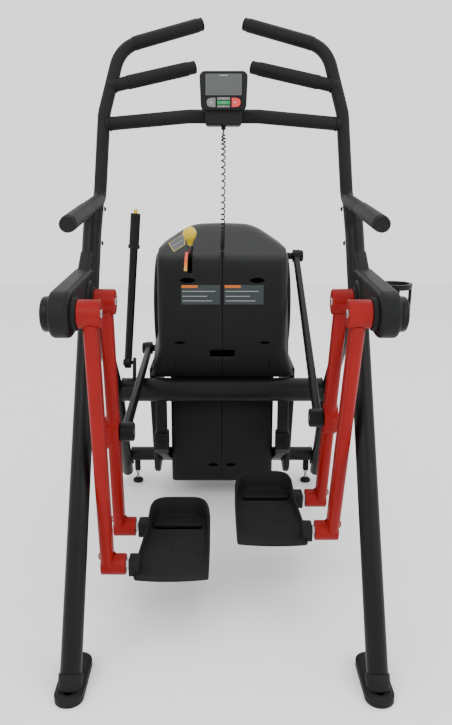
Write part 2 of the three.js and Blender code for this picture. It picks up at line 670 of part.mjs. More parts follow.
// ---- Curly cord from the console to the cover ----
const CORD_RADIUS = 8; // of the coil, outside
const CORD_POINTS = [
  [0, 178, 1449], [0, 180, 1400], [0, 226, 1312], [0, 330, 1208], [0, 450, 1133], [0, 560, 1092],
  [0, 610, 1074], [0, 612, 1053.2],
];
const cordRoute = new THREE.CatmullRomCurve3(CORD_POINTS.map((p) => new THREE.Vector3(...p)));
const cordTube = new THREE.ExtrudeGeometry(new THREE.Shape(circlePoints(CORD_RADIUS, 8)), {
  steps: 22,
  extrudePath: cordRoute,
});
add('coil_cord', cordTube, RUBBER);
add('cord_gland_upper', turnedZ([
  [1449.4, 0], [1449.4, 6], [1460.6, 9], [1460.6, 0],
], [0, 178], 12), RUBBER);
add('cord_gland_lower', turnedZ([
  [1028, 0], [1028, 7.6], [1044, 7.6], [1052.6, 6], [1052.6, 0],
], [0, 612], 12), RUBBER);

// ---- Resistance lever ----
const LEVER_X = -119;
const LEVER_PIVOT = [700, 930];
const KNOB = [580, 1108];
const leverHub = drumX(LEVER_X - 6, LEVER_X + 6, 14, LEVER_PIVOT, 16);
const KNOB_BASE = 0.84; // share of the way from the pivot to the knob's middle
const toKnob = (share) => [
  LEVER_X,
  LEVER_PIVOT[0] + share * (KNOB[0] - LEVER_PIVOT[0]),
  LEVER_PIVOT[1] + share * (KNOB[1] - LEVER_PIVOT[1]),
];
const leverRod = tube([toKnob(0), toKnob(KNOB_BASE)], 4.5, { sides: 12 });
add('resistance_lever', join(leverHub, leverRod), STEEL);
const knobLean = Math.atan2(LEVER_PIVOT[0] - KNOB[0], KNOB[1] - LEVER_PIVOT[1]);
const knob = new THREE.LatheGeometry([
  [0, 0], [8, 0], [10, 6], [15, 20], [23, 38], [25, 50], [22, 62], [14, 71], [0, 74],
].map(([r, h]) => new THREE.Vector2(r, h)), 18);
knob.rotateX(Math.PI / 2);
knob.rotateX(knobLean);
knob.translate(...toKnob(KNOB_BASE + 0.003));
add('resistance_knob', knob, YELLOW);

// ---- Lock lever beside the cover, with its push button ----
const LOCK_BASE = [-361, 600, 632];
const LOCK_TOP = [-315, 600, 1200];
const lockLine = new THREE.Vector3(...LOCK_TOP).sub(new THREE.Vector3(...LOCK_BASE));
const lockLength = lockLine.length();
const lockTurn = new THREE.Quaternion().setFromUnitVectors(Y_AXIS, lockLine.clone().normalize());

// A solid turned about the lever's own line. Profile rows are the share of its length and the radius.
function onLockLine(profile, sides = 14) {
  const points = profile.map(([share, radius]) => new THREE.Vector2(radius, share * lockLength));
  return new THREE.LatheGeometry(points, sides).applyQuaternion(lockTurn).translate(...LOCK_BASE);
}
const lockStem = onLockLine([
  [0.03, 0], [0.03, 15], [0.765, 15], [0.765, 22], [0.785, 22], [0.785, 18.5], [0.985, 18.5], [0.985, 8.4],
  [0.965, 8.4], [0.965, 0],
]);
const lockEye = drumX(LOCK_BASE[0] - 12, LOCK_BASE[0] + 12, 22, LOCK_BASE.slice(1), 18);
const lockPinRoom = drumX(LOCK_BASE[0] - 20, LOCK_BASE[0] + 20, 8 + GAP, LOCK_BASE.slice(1), 14);
add('lock_lever', cut(join(lockStem, lockEye), lockPinRoom), FRAME_BLACK);
add('lock_button', onLockLine([[0.979, 0], [0.979, 8], [1.012, 8], [1.012, 0]]), YELLOW);
const lockPin = turnedX([
  [LOCK_BASE[0] - 18, 0], [LOCK_BASE[0] - 18, 13], [LOCK_BASE[0] - 12.4, 13], [LOCK_BASE[0] - 12.4, 8],
  [LOCK_BASE[0] + 12.4, 8], [LOCK_BASE[0] + 12.4, 11], [LOCK_BASE[0] + 24, 11], [LOCK_BASE[0] + 24, 0],
], LOCK_BASE.slice(1), 14);
const earOutline = beltOutline(LOCK_BASE.slice(1), 20, [583, 565], 24);
const lockEar = sidePlate(earOutline, LOCK_BASE[0] + 20, LOCK_BASE[0] + 30, 2);
const tubeRoom = drumX(-FRAME_X, FRAME_X, CROSS_RADIUS + GAP, CROSS_TUBE, 20);
const lockBracket = cut(join(lockEar, lockPin), tubeRoom);
add('lock_bracket', keepLargest(lockBracket), FRAME_BLACK);

// ---- Cup holder on the right hip ----
const CUP = { x: 503, y: 52, z: 1004, outer: 50, inner: 43 };
function cupHolder() {
  const around = [CUP.x, CUP.y];
  const band = turnedZ([
    [CUP.z - 8, CUP.inner], [CUP.z - 8, CUP.outer], [CUP.z + 8, CUP.outer + 2], [CUP.z + 8, CUP.inner],
    [CUP.z - 8, CUP.inner],
  ], around, 20);
  const bottom = turnedZ([
    [CUP.z - 112, 0], [CUP.z - 112, 34], [CUP.z - 104, 36], [CUP.z - 104, 0],
  ], around, 20);
  const strap = (angle) => {
    const [c, s] = [Math.cos(radians(angle)), Math.sin(radians(angle))];
    return tube([
      [CUP.x + c * 47, CUP.y + s * 47, CUP.z], [CUP.x + c * 46, CUP.y + s * 46, CUP.z - 96],
      [CUP.x + c * 24, CUP.y + s * 24, CUP.z - 108],
    ], 5, { bend: 8, sides: 8, arcSteps: 3 });
  };
  const arm = box(HIP_OUTER_X - 4, CUP.x - CUP.inner - 2, CUP.y - 12, CUP.y + 26, CUP.z - 7, CUP.z + 7);
  const holder = join(band, bottom, ...[0, 90, 270].map(strap), arm);
  return cut(holder, legTube(LEG_RADIUS + GAP), drumX(HIP_INNER_X, HIP_OUTER_X + GAP, 120, HIP_KNEE, 20));
}
add('cup_holder', keepLargest(cupHolder()), FRAME_BLACK);

// The origin is on the floor, at the middle of the footprint.
const extent = new THREE.Box3().setFromObject(machine);
const middle = extent.getCenter(new THREE.Vector3());
machine.position.set(-middle.x, -middle.y, -extent.min.z);

export default machine;
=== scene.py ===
"""A crank-linked climbing machine with two pedals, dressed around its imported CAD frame."""
import json
import math
import random

import bmesh
import bpy
from mathutils import Matrix, Vector
from mathutils.geometry import tessellate_polygon
from mathutils.bvhtree import BVHTree


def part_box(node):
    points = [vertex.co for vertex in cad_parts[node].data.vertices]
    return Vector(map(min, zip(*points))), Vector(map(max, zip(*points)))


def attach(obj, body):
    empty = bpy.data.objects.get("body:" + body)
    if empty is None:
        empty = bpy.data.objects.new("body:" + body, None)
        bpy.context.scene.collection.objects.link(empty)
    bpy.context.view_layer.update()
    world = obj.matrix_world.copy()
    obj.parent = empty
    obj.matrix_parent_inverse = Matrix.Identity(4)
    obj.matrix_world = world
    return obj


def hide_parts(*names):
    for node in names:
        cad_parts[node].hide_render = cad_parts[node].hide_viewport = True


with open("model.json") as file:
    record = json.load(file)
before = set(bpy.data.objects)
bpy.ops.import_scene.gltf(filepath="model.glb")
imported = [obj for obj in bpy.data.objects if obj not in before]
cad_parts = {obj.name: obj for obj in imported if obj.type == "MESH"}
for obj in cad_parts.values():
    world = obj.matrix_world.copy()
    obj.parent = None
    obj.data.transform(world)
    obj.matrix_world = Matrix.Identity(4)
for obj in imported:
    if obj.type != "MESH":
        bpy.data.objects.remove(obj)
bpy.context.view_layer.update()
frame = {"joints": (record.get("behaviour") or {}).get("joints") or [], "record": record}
random.seed(7)

RECORD = frame["record"]
BODY_OF = {node: body for body, nodes in RECORD["behaviour"]["bodies"].items() for node in nodes}
SLOT_OF = {row["node"]: row["material_slot"] for row in RECORD["subparts"]}
PIVOT = {joint["name"]: Vector(joint["pos_m"]) for joint in frame["joints"] if "pos_m" in joint}
SIDES = (("left", -1), ("right", 1))


def middle(node):
    low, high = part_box(node)
    return (low + high) / 2


# The machine's centre plane and the shift from drawing coordinates to the frame's.
CENTRE_X = middle("main_cross_tube").x
SHIFT = Vector((CENTRE_X, PIVOT["crank_turn"].y - 0.870, 0))

# ---------------------------------------------------------------- camera
CAMERA_PLACE = SHIFT + Vector((-0.015, -2.0, 1.293))
CAMERA_PITCH = math.radians(14.27)
camera_data = bpy.data.cameras.new("camera")
camera_data.lens = 34.76
camera_data.sensor_width = 36
camera_data.shift_x = 0.0105
camera = bpy.data.objects.new("camera", camera_data)
bpy.context.scene.collection.objects.link(camera)
camera.location = CAMERA_PLACE
camera.rotation_euler = (math.pi / 2 - CAMERA_PITCH, 0, 0)
bpy.context.scene.camera = camera


# ---------------------------------------------------------------- materials
def material(name, colour, roughness, metallic=0.0, grain=900.0, bump=0.15, depth=0.0003, mottle=0.12, coat=0.0,
             stretch=(1, 1, 1), dust=0.0, shine=0.3):
    """A node material: mottled colour, varied roughness and a fine bump, all in object space."""
    made = bpy.data.materials.new(name)
    made.use_nodes = True
    nodes, links = made.node_tree.nodes, made.node_tree.links
    shader = nodes["Principled BSDF"]
    shader.inputs["Metallic"].default_value = metallic
    shader.inputs["Specular IOR Level"].default_value = shine
    shader.inputs["Coat Weight"].default_value = coat
    shader.inputs["Coat Roughness"].default_value = 0.15
    place = nodes.new("ShaderNodeTexCoord")
    mapping = nodes.new("ShaderNodeMapping")
    mapping.inputs["Scale"].default_value = stretch
    links.new(place.outputs["Object"], mapping.inputs["Vector"])

    def noise(scale, detail):
        node = nodes.new("ShaderNodeTexNoise")
        node.inputs["Scale"].default_value = scale
        node.inputs["Detail"].default_value = detail
        links.new(mapping.outputs["Vector"], node.inputs["Vector"])
        return node

    broad = noise(9.0, 4.0)
    fine = noise(grain, 2.0)
    tint = nodes.new("ShaderNodeValToRGB")
    darker = [c * (1 - mottle) for c in colour]
    lighter = [min(1, c * (1 + mottle) + dust) for c in colour]
    tint.color_ramp.elements[0].position = 0.3
    tint.color_ramp.elements[1].position = 0.7
    tint.color_ramp.elements[0].color = (*darker, 1)
    tint.color_ramp.elements[1].color = (*lighter, 1)
    links.new(broad.outputs["Fac"], tint.inputs["Fac"])
    links.new(tint.outputs["Color"], shader.inputs["Base Color"])
    spread = nodes.new("ShaderNodeMapRange")
    spread.inputs["To Min"].default_value = max(0.04, roughness - 0.07)
    spread.inputs["To Max"].default_value = min(1.0, roughness + 0.07)
    links.new(fine.outputs["Fac"], spread.inputs["Value"])
    links.new(spread.outputs["Result"], shader.inputs["Roughness"])
    relief = nodes.new("ShaderNodeBump")
    relief.inputs["Strength"].default_value = bump
    relief.inputs["Distance"].default_value = depth
    links.new(fine.outputs["Fac"], relief.inputs["Height"])
    links.new(relief.outputs["Normal"], shader.inputs["Normal"])
    return made


def graded(name, stops, axis, low, high, roughness=0.45):
    """A material whose colour runs through the stops from low to high along one axis of the frame."""
    made = material(name, (0.5, 0.5, 0.5), roughness)
    nodes, links = made.node_tree.nodes, made.node_tree.links
    place = nodes.new("ShaderNodeTexCoord")
    split = nodes.new("ShaderNodeSeparateXYZ")
    span = nodes.new("ShaderNodeMapRange")
    ramp = nodes.new("ShaderNodeValToRGB")
    links.new(place.outputs["Object"], split.inputs["Vector"])
    links.new(split.outputs[axis], span.inputs["Value"])
    span.inputs["From Min"].default_value = low
    span.inputs["From Max"].default_value = high
    while len(ramp.color_ramp.elements) < len(stops):
        ramp.color_ramp.elements.new(0.5)
    for element, (position, colour) in zip(ramp.color_ramp.elements, stops):
        element.position = position
        element.color = (*colour, 1)
    links.new(span.outputs["Result"], ramp.inputs["Fac"])
    links.new(ramp.outputs["Color"], nodes["Principled BSDF"].inputs["Base Color"])
    return made


LOOK = {
    "black_frame": material("powder_coat", (0.0034, 0.0036, 0.0036), 0.40, grain=1400, bump=0.25, depth=0.0002, shine=0.16),
    "black_grip": material("grip_foam", (0.0052, 0.0054, 0.0054), 0.6, grain=1900, bump=0.4, depth=0.0004, shine=0.16),
    "moulded_plastic": material("grained_plastic", (0.0062, 0.0066, 0.0066), 0.52, grain=1100, bump=0.3, depth=0.0003, shine=0.15),
    "red_paint": material("red_paint", (0.215, 0.0045, 0.0036), 0.42, grain=1300, bump=0.12, depth=0.0002, mottle=0.06, shine=0.16),
    "black_rubber": material("rubber", (0.0055, 0.0055, 0.0055), 0.68, grain=700, bump=0.35, depth=0.0004, shine=0.2),
    "steel": material("brushed_steel", (0.52, 0.52, 0.52), 0.28, 1.0, grain=260, bump=0.12, stretch=(12, 1, 1)),
    "yellow_plastic": material("yellow_plastic", (0.56, 0.40, 0.022), 0.32, grain=600, bump=0.08, mottle=0.05),
    "display_grey": material("display_film", (0.058, 0.062, 0.06), 0.25, grain=300, bump=0.03, mottle=0.04, shine=0.5),
    "key_grey": material("key_grey", (0.13, 0.135, 0.135), 0.5, grain=800, bump=0.15),
    "key_green": material("key_green", (0.012, 0.22, 0.06), 0.45, grain=800, bump=0.15, mottle=0.06),
    "key_red": material("key_red", (0.60, 0.035, 0.04), 0.45, grain=800, bump=0.15, mottle=0.06),
}
# Painted shade: a near-black, unlit colour for the sheets and discs put in hollows, grooves, gaps and finger dents,
# where there is only shade.
PAINTED_SHADE_BLACK = material("painted_shade_black", (0.0008, 0.0008, 0.0008), 0.9, grain=500, shine=0.0)
LABEL_GREY = material("label_film", (0.024, 0.032, 0.034), 0.5, grain=500, bump=0.05, mottle=0.05)
LABEL_WHITE = material("label_white", (0.30, 0.30, 0.295), 0.5, grain=500, bump=0.05, mottle=0.05)
LABEL_ORANGE = material("label_orange", (0.46, 0.115, 0.012), 0.5, grain=500, bump=0.05, mottle=0.05)
PANEL_GREY = material("panel_grey", (0.075, 0.075, 0.078), 0.55, grain=260, bump=0.3, depth=0.0006)


# ---------------------------------------------------------------- mesh helpers
def new_object(name, verts, faces):
    mesh = bpy.data.meshes.new(name)
    mesh.from_pydata([tuple(v) for v in verts], [], faces)
    mesh.validate()
    solid = bmesh.new()
    solid.from_mesh(mesh)
    bmesh.ops.recalc_face_normals(solid, faces=solid.faces)
    solid.to_mesh(mesh)
    solid.free()
    made = bpy.data.objects.new(name, mesh)
    bpy.context.scene.collection.objects.link(made)
    return made


def loft(rings, closed_ends=True):
    """Vertices and faces of a skin through rings that each have the same number of points."""
    count = len(rings[0])
    verts = [point for ring in rings for point in ring]
    faces = []
    for r in range(len(rings) - 1):
        for k in range(count):
            a, b = r * count + k, r * count + (k + 1) % count
            faces.append((a, b, b + count, a + count))
    if closed_ends:
        faces.append(tuple(range(count))[::-1])
        faces.append(tuple(range((len(rings) - 1) * count, len(rings) * count)))
    return verts, faces


def merged(*parts):
    """Several (vertices, faces) pairs as one."""
    verts, faces = [], []
    for part_verts, part_faces in parts:
        base = len(verts)
        verts.extend(part_verts)
        faces.extend(tuple(base + i for i in face) for face in part_faces)
    return verts, faces


def smooth(points, per_span=8):
    """A Catmull-Rom line through the points."""
    points = [Vector(p) for p in points]
    ends = [points[0] * 2 - points[1], *points, points[-1] * 2 - points[-2]]
    line = []
    for i in range(1, len(ends) - 2):
        p0, p1, p2, p3 = ends[i - 1:i + 3]
        for k in range(per_span):
            t = k / per_span
            line.append(0.5 * (2 * p1 + (p2 - p0) * t + (2 * p0 - 5 * p1 + 4 * p2 - p3) * t ** 2
                               + (3 * p1 - p0 - 3 * p2 + p3) * t ** 3))
    line.append(points[-1])
    return line


def bent(corners, bend, steps=12):
    """A line through corners, each rounded by a quadratic bend: one size for all, or a list."""
    corners = [Vector(c) for c in corners]
    bends = bend if isinstance(bend, (list, tuple)) else [bend] * len(corners)
    line = [corners[0]]
    for before, corner, after, bend in zip(corners, corners[1:], corners[2:], bends):
        back, ahead = (before - corner).normalized(), (after - corner).normalized()
        reach = bend * math.tan((math.pi - back.angle(ahead)) / 2)
        start, end = corner + back * reach, corner + ahead * reach
        for k in range(steps + 1):
            t = k / steps
            line.append(start * (1 - t) ** 2 + corner * 2 * t * (1 - t) + end * t ** 2)
    line.append(corners[-1])
    return line


def frames_along(line):
    """A point, a side vector and an up vector for each point of a line, without twist."""
    tangents = []
    for i in range(len(line)):
        tangents.append((line[min(i + 1, len(line) - 1)] - line[max(i - 1, 0)]).normalized())
    side = tangents[0].orthogonal().normalized()
    rows = []
    for point, tangent in zip(line, tangents):
        side = (side - tangent * side.dot(tangent)).normalized()
        rows.append((point, side, tangent.cross(side), tangent))
    return rows


def pipe(line, radius, sides=36, round_end=0.0025):
    """A round bar along a line, with softened ends. Returns vertices and faces."""
    rows = frames_along([Vector(p) for p in line])
    rings = []

    def ring(row, size, push=0.0):
        point, side, up, tangent = row
        middle_point = point + tangent * push
        return [middle_point + (side * math.cos(a) + up * math.sin(a)) * size
                for a in (2 * math.pi * k / sides for k in range(sides))]

    for k in range(3):
        angle = math.pi / 2 * k / 3
        inset = round_end * (1 - math.sin(angle))
        rings.append(ring(rows[0], radius - inset, round_end * (1 - math.cos(angle))))
    rings.extend(ring(row, radius, round_end if i == 0 else (-round_end if i == len(rows) - 1 else 0))
                 for i, row in enumerate(rows))
    for k in reversed(range(3)):
        angle = math.pi / 2 * k / 3
        inset = round_end * (1 - math.sin(angle))
        rings.append(ring(rows[-1], radius - inset, -round_end * (1 - math.cos(angle))))
    return loft(rings)


def turned(profile, centre, axis="X", sides=56):
    """A solid turned about an axis through centre. Profile rows are (place along the axis, radius)."""
    basis = {"X": (Vector((1, 0, 0)), Vector((0, 1, 0)), Vector((0, 0, 1))),
             "Y": (Vector((0, 1, 0)), Vector((0, 0, 1)), Vector((1, 0, 0))),
             "Z": (Vector((0, 0, 1)), Vector((1, 0, 0)), Vector((0, 1, 0)))}[axis]
    along, across, up = basis
    origin = Vector(centre)
    rings = []
    for place, radius in profile:
        base = origin + along * (place - origin.dot(along))
        rings.append([base + (across * math.cos(a) + up * math.sin(a)) * max(radius, 1e-4)
                      for a in (2 * math.pi * k / sides for k in range(sides))])
    return loft(rings)


def slab(outline, low, high, axis="X"):
    """A plate whose outline is drawn in the two axes across its thickness (for X: Y and Z)."""
    place = {"X": lambda a, b, t: Vector((t, a, b)), "Y": lambda a, b, t: Vector((a, t, b)),
             "Z": lambda a, b, t: Vector((a, b, t))}[axis]
    return loft([[place(a, b, low) for a, b in outline], [place(a, b, high) for a, b in outline]])


def arc(centre, radius, start, end, steps=20):
    return [(centre[0] + radius * math.cos(start + (end - start) * k / steps),
             centre[1] + radius * math.sin(start + (end - start) * k / steps)) for k in range(steps + 1)]


def belt(c0, r0, c1, r1, steps=24):
    """The outline round two circles."""
    along = math.atan2(c1[1] - c0[1], c1[0] - c0[0])
    spread = math.acos((r0 - r1) / math.hypot(c1[0] - c0[0], c1[1] - c0[1]))
    return (arc(c0, r0, along + spread, along - spread + 2 * math.pi, steps)
            + arc(c1, r1, along - spread, along + spread, steps))


def rounded(a0, b0, a1, b1, radius, steps=8):
    quarter = math.pi / 2
    corners = (((a1 - radius, b0 + radius), -quarter), ((a1 - radius, b1 - radius), 0),
               ((a0 + radius, b1 - radius), quarter), ((a0 + radius, b0 + radius), 2 * quarter))
    return [point for centre, start in corners for point in arc(centre, radius, start, start + quarter, steps)]


def finished(name, geometry, look, bevel=0.0, segments=3, sharp=35):
    """An object with smooth faces, sharp creases kept, softened edges and a material."""
    made = new_object(name, *geometry)
    made.data.shade_smooth()
    made.data.set_sharp_from_angle(angle=math.radians(sharp))
    if bevel:
        edge = made.modifiers.new("edge", "BEVEL")
        edge.width = bevel
        edge.segments = segments
        edge.limit_method = "ANGLE"
        edge.angle_limit = math.radians(sharp)
        edge.harden_normals = False
        edge.use_clamp_overlap = True
    made.data.materials.append(look if isinstance(look, bpy.types.Material) else LOOK[look])
    return made


def stands_for(made, *nodes):
    """The piece replaces CAD nodes, which are hidden, and takes the first node's body."""
    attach(made, BODY_OF[nodes[0]])
    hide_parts(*nodes)
    return made


def trim(made, node):
    """A small extra piece that moves with a node's body."""
    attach(made, BODY_OF[node])
    return made


def at(x, y, z):
    """A point given in millimetres from the centre plane, in drawing coordinates, as metres in the frame."""
    return Vector((x / 1000, y / 1000, z / 1000)) + SHIFT


def yz(y, z):
    return (y / 1000 + SHIFT.y, z / 1000)


# ---------------------------------------------------------------- curly cord, whose route repeats the CAD tube's
CORD_ROUTE = [at(0, y, z) for y, z in ((178, 1449), (180, 1400), (226, 1312), (330, 1208), (450, 1133), (560, 1092),
                                        (610, 1074), (612, 1053.2))]
WIRE_RADIUS = 0.0021
COIL_RADIUS = 0.0056
COIL_TURNS = 34
STEPS_PER_TURN = 16


def curly_cord():
    rows = frames_along(smooth(CORD_ROUTE, 40))
    steps = COIL_TURNS * STEPS_PER_TURN
    line = []
    for k in range(steps + 1):
        place = k / steps * (len(rows) - 1)
        i = min(int(place), len(rows) - 2)
        point = rows[i][0].lerp(rows[i + 1][0], place - i)
        lead = min(1.0, 14 * k / steps, 14 * (steps - k) / steps)
        angle = 2 * math.pi * k / STEPS_PER_TURN
        line.append(point + (rows[i][1] * math.cos(angle) + rows[i][2] * math.sin(angle)) * COIL_RADIUS * lead)
    return line


cord_line = curly_cord()
cord_curve = bpy.data.curves.new("curly_cord", "CURVE")
cord_curve.dimensions = "3D"
cord_curve.bevel_depth = WIRE_RADIUS
cord_curve.bevel_resolution = 3
cord_curve.use_fill_caps = True
spline = cord_curve.splines.new("POLY")
spline.points.add(len(cord_line) - 1)
for dot, point in zip(spline.points, cord_line):
    dot.co = (*point, 1)
cord = bpy.data.objects.new("curly_cord", cord_curve)
bpy.context.scene.collection.objects.link(cord)
cord_curve.materials.append(LOOK["black_rubber"])
stands_for(cord, "coil_cord")


def gland(name, low, high, centre, flip):
    """A short ribbed sleeve."""
    rows = [(low, 0), (low, 0.0062), (low + 0.001, 0.0070)]
    span = high - low
    for k in range(1, 4):
        ridge = low + span * k / 4
        rows += [(ridge - 0.0008, 0.0070), (ridge - 0.0004, 0.0062), (ridge + 0.0004, 0.0062), (ridge + 0.0008, 0.0070)]
    rows += [(high - 0.001, 0.0078), (high, 0.0072), (high, 0)]
    if flip:
        rows = [(low + high - place, radius) for place, radius in reversed(rows)]
    return finished(name, turned(rows, centre, "Z", 32), "black_rubber")


for node, flip in (("cord_gland_upper", False), ("cord_gland_lower", True)):
    low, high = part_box(node)
    stands_for(gland(node + "_sleeve", low.z, high.z, (low + high) / 2, flip), node)


# ---------------------------------------------------------------- fasteners
def bolt(name, centre, direction, radius, node, look="steel"):
    """A domed hexagon bolt on a washer, pointing along direction."""
    parts = []
    height = radius * 0.7
    washer = turned([(0, 0), (0, radius * 1.35), (height * 0.25, radius * 1.35), (height * 0.25, 0)], (0, 0, 0), "Z", 28)
    hexagon = [[Vector((math.cos(a) * r, math.sin(a) * r, z)) for a in (math.pi / 3 * k for k in range(6))]
               for z, r in ((height * 0.25, radius), (height, radius), (height * 1.2, radius * 0.86))]
    parts.append(washer)
    parts.append(loft(hexagon))
    made = finished(name, merged(*parts), look, bevel=radius * 0.06, segments=2)
    turn = Vector((0, 0, 1)).rotation_difference(Vector(direction)).to_matrix().to_4x4()
    made.data.transform(Matrix.Translation(centre) @ turn)
    return trim(made, node)


# ---------------------------------------------------------------- rear legs, feet and hips
LEG_RADIUS = 0.0285
BAR_RADIUS = 0.020
REAR_HIP = PIVOT["rear_arm_right_swing"]
FRONT_HIP = PIVOT["front_arm_right_swing"]
BAR_CORNERS = ((370, -328, 1202), (374, 178, 1250), (359, 228, 1499), (313, 300, 1697), (68, 380, 1778))


def weld(name, line_point, direction, radius, node):
    """A thin uneven weld bead round a tube."""
    direction = Vector(direction).normalized()
    side = direction.orthogonal().normalized()
    up = direction.cross(side)
    ring = []
    for k in range(49):
        a = 2 * math.pi * k / 48
        ring.append(Vector(line_point) + (side * math.cos(a) + up * math.sin(a)) * radius)
    bead = pipe(ring, 0.0024, 10)
    made = finished(name, bead, "black_frame")
    for vertex in made.data.vertices:
        vertex.co += direction * math.sin(vertex.co.x * 900 + vertex.co.z * 1100) * 0.0003
    return trim(made, node)


def leg_line(s):
    return bent([at(s * 402, -440, 14), at(s * 402, 180, 1155), at(s * 391, 184, 1243)], 0.12)


for side, s in SIDES:
    leg = finished(f"leg_tube_{side}", pipe(leg_line(s), LEG_RADIUS, 48), "black_frame")
    stands_for(leg, f"rear_leg_{side}")
    for k, (y, z) in enumerate(((187, 1220), (176, 1118))):
        bolt(f"socket_bolt_{side}_{k}", at(s * (391 - 28 if k == 0 else 402 - 28.5), y, z), (-s, 0, 0), 0.006,
             f"rear_leg_{side}", "black_frame")

    low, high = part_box(f"rear_foot_{side}")
    pad = rounded(low.x, low.y, high.x, high.y, (high.x - low.x) / 2 - 0.001, 14)
    inner = rounded(low.x + 0.012, low.y + 0.012, high.x - 0.012, high.y - 0.012, (high.x - low.x) / 2 - 0.0125, 14)
    rings = [[Vector((a, b, z)) for a, b in outline] for outline, z in (
        (pad, 0), (pad, 0.006), (pad, 0.020), (inner, 0.026), (inner, 0.0235))]
    foot = finished(f"foot_pad_{side}", loft(rings), "black_rubber", bevel=0.002)
    stands_for(foot, f"rear_foot_{side}")
    # The dimple is drawn as a thin near-black disc of painted shade for the shade inside the hollow of the pad.
    dimple_shade_disc = turned([(0.0232, 0), (0.0232, 0.009), (0.0245, 0.010), (0.0245, 0.0)], (middle(f"rear_foot_{side}").x,
                    low.y + 0.030, 0), "Z", 32)
    trim(finished(f"foot_dimple_shade_{side}", dimple_shade_disc, PAINTED_SHADE_BLACK), f"rear_foot_{side}")

    # Socket boot where the leg enters the pad.
    boot_line = [leg_line(s)[0], leg_line(s)[0] + (leg_line(s)[1] - leg_line(s)[0]).normalized() * 0.042]
    boot = finished(f"foot_boot_{side}", pipe(boot_line, LEG_RADIUS + 0.0035, 48, 0.002), "black_rubber")
    trim(boot, f"rear_foot_{side}")

HIP_IN, HIP_OUT = 0.385, 0.438
HUB_IN, HUB_OUT = 0.312, 0.371


def ordered(a, b):
    return (a, b) if a < b else (b, a)


for side, s in SIDES:
    rear = (REAR_HIP.y, REAR_HIP.z)
    front = (FRONT_HIP.y, FRONT_HIP.z)
    knee = yz(60, 1000)
    x0, x1 = ordered(CENTRE_X + s * HIP_IN, CENTRE_X + s * HIP_OUT)
    arm = finished(f"hip_cover_{side}", slab(belt(rear, 0.061, knee, 0.054), x0, x1), "moulded_plastic",
                   bevel=0.011, segments=5)
    stands_for(arm, f"hip_bracket_{side}")
    x0, x1 = ordered(CENTRE_X + s * (HIP_IN + 0.006), CENTRE_X + s * (HIP_OUT - 0.010))
    gusset = slab(belt(knee, 0.050, yz(118, 1078), 0.024), x0, x1)
    trim(finished(f"hip_gusset_{side}", gusset, "moulded_plastic", bevel=0.009, segments=4), f"hip_bracket_{side}")
    plate_x = CENTRE_X + s * (HIP_IN - 0.006)
    plate = turned([(plate_x, 0), (plate_x, 0.058), (plate_x + s * 0.004, 0.062), (plate_x + s * 0.012, 0.062),
                    (plate_x + s * 0.012, 0)], FRONT_HIP)
    trim(finished(f"hip_plate_{side}", plate, "moulded_plastic"), f"hip_bracket_{side}")
    for end, pivot in (("rear", REAR_HIP), ("front", FRONT_HIP)):
        a, b = CENTRE_X + s * (HUB_OUT + 0.0005), CENTRE_X + s * (HIP_IN + 0.002)
        collar = turned([(a, 0), (a, 0.041), (a + s * 0.002, 0.043), (b - s * 0.004, 0.043), (b - s * 0.003, 0.040),
                         (b, 0.040), (b, 0)], pivot)
        trim(finished(f"hip_collar_{end}_{side}", collar, "black_rubber"), f"hip_bracket_{side}")
        a = CENTRE_X + s * (HUB_IN - 0.003)
        shaft = turned([(a, 0), (a, 0.009), (a + s * 0.002, 0.0115), (a + s * 0.06, 0.0115), (a + s * 0.06, 0)], pivot)
        trim(finished(f"hip_shaft_{end}_{side}", shaft, "steel"), f"hip_bracket_{side}")

    a = CENTRE_X + s * (HIP_OUT + 0.0003)
    cap = turned([(a, 0), (a, 0.0435), (a + s * 0.002, 0.0455), (a + s * 0.014, 0.0455), (a + s * 0.019, 0.0435),
                  (a + s * 0.0217, 0.038), (a + s * 0.0217, 0.031), (a + s * 0.0185, 0.029), (a + s * 0.0185, 0.012),
                  (a + s * 0.0205, 0.0105), (a + s * 0.0205, 0)], REAR_HIP, sides=72)
    stands_for(finished(f"hip_cap_{side}", cap, "black_frame", bevel=0.0008), f"pivot_cap_{side}")
    bump = Vector((CENTRE_X + s * 0.425, REAR_HIP.y + 0.07, REAR_HIP.z + 0.054))
    bolt(f"hip_bolt_{side}", bump, (0, -0.05, 1), 0.0075, f"hip_bracket_{side}", "black_frame")

# ---------------------------------------------------------------- handlebars, grips and crossbar
def sleeve_on(line, start, end, radius):
    """A foam sleeve over part of a line, given as distances along it, with rolled ends."""
    walked, points = 0.0, []
    for a, b in zip(line, line[1:]):
        step = (b - a).length
        pieces = max(1, round(step / 0.01))
        for k in range(pieces):
            here = walked + step * k / pieces
            if start <= here <= end:
                points.append(a.lerp(b, k / pieces))
        walked += step
    return pipe(points, radius, 44, 0.003)


def end_cap(name, tip, direction, radius, node):
    direction = Vector(direction).normalized()
    rows = [(0, 0), (0, radius), (0.0015, radius), (0.0028, radius * 0.93), (0.0032, radius * 0.84),
            (0.0024, radius * 0.8), (0.0032, radius * 0.3), (0.0034, 0)]
    made = finished(name, turned(rows, (0, 0, 0), "Z", 44), "black_rubber", sharp=60)
    turn = Vector((0, 0, 1)).rotation_difference(direction).to_matrix().to_4x4()
    made.data.transform(Matrix.Translation(tip) @ turn)
    return trim(made, node)


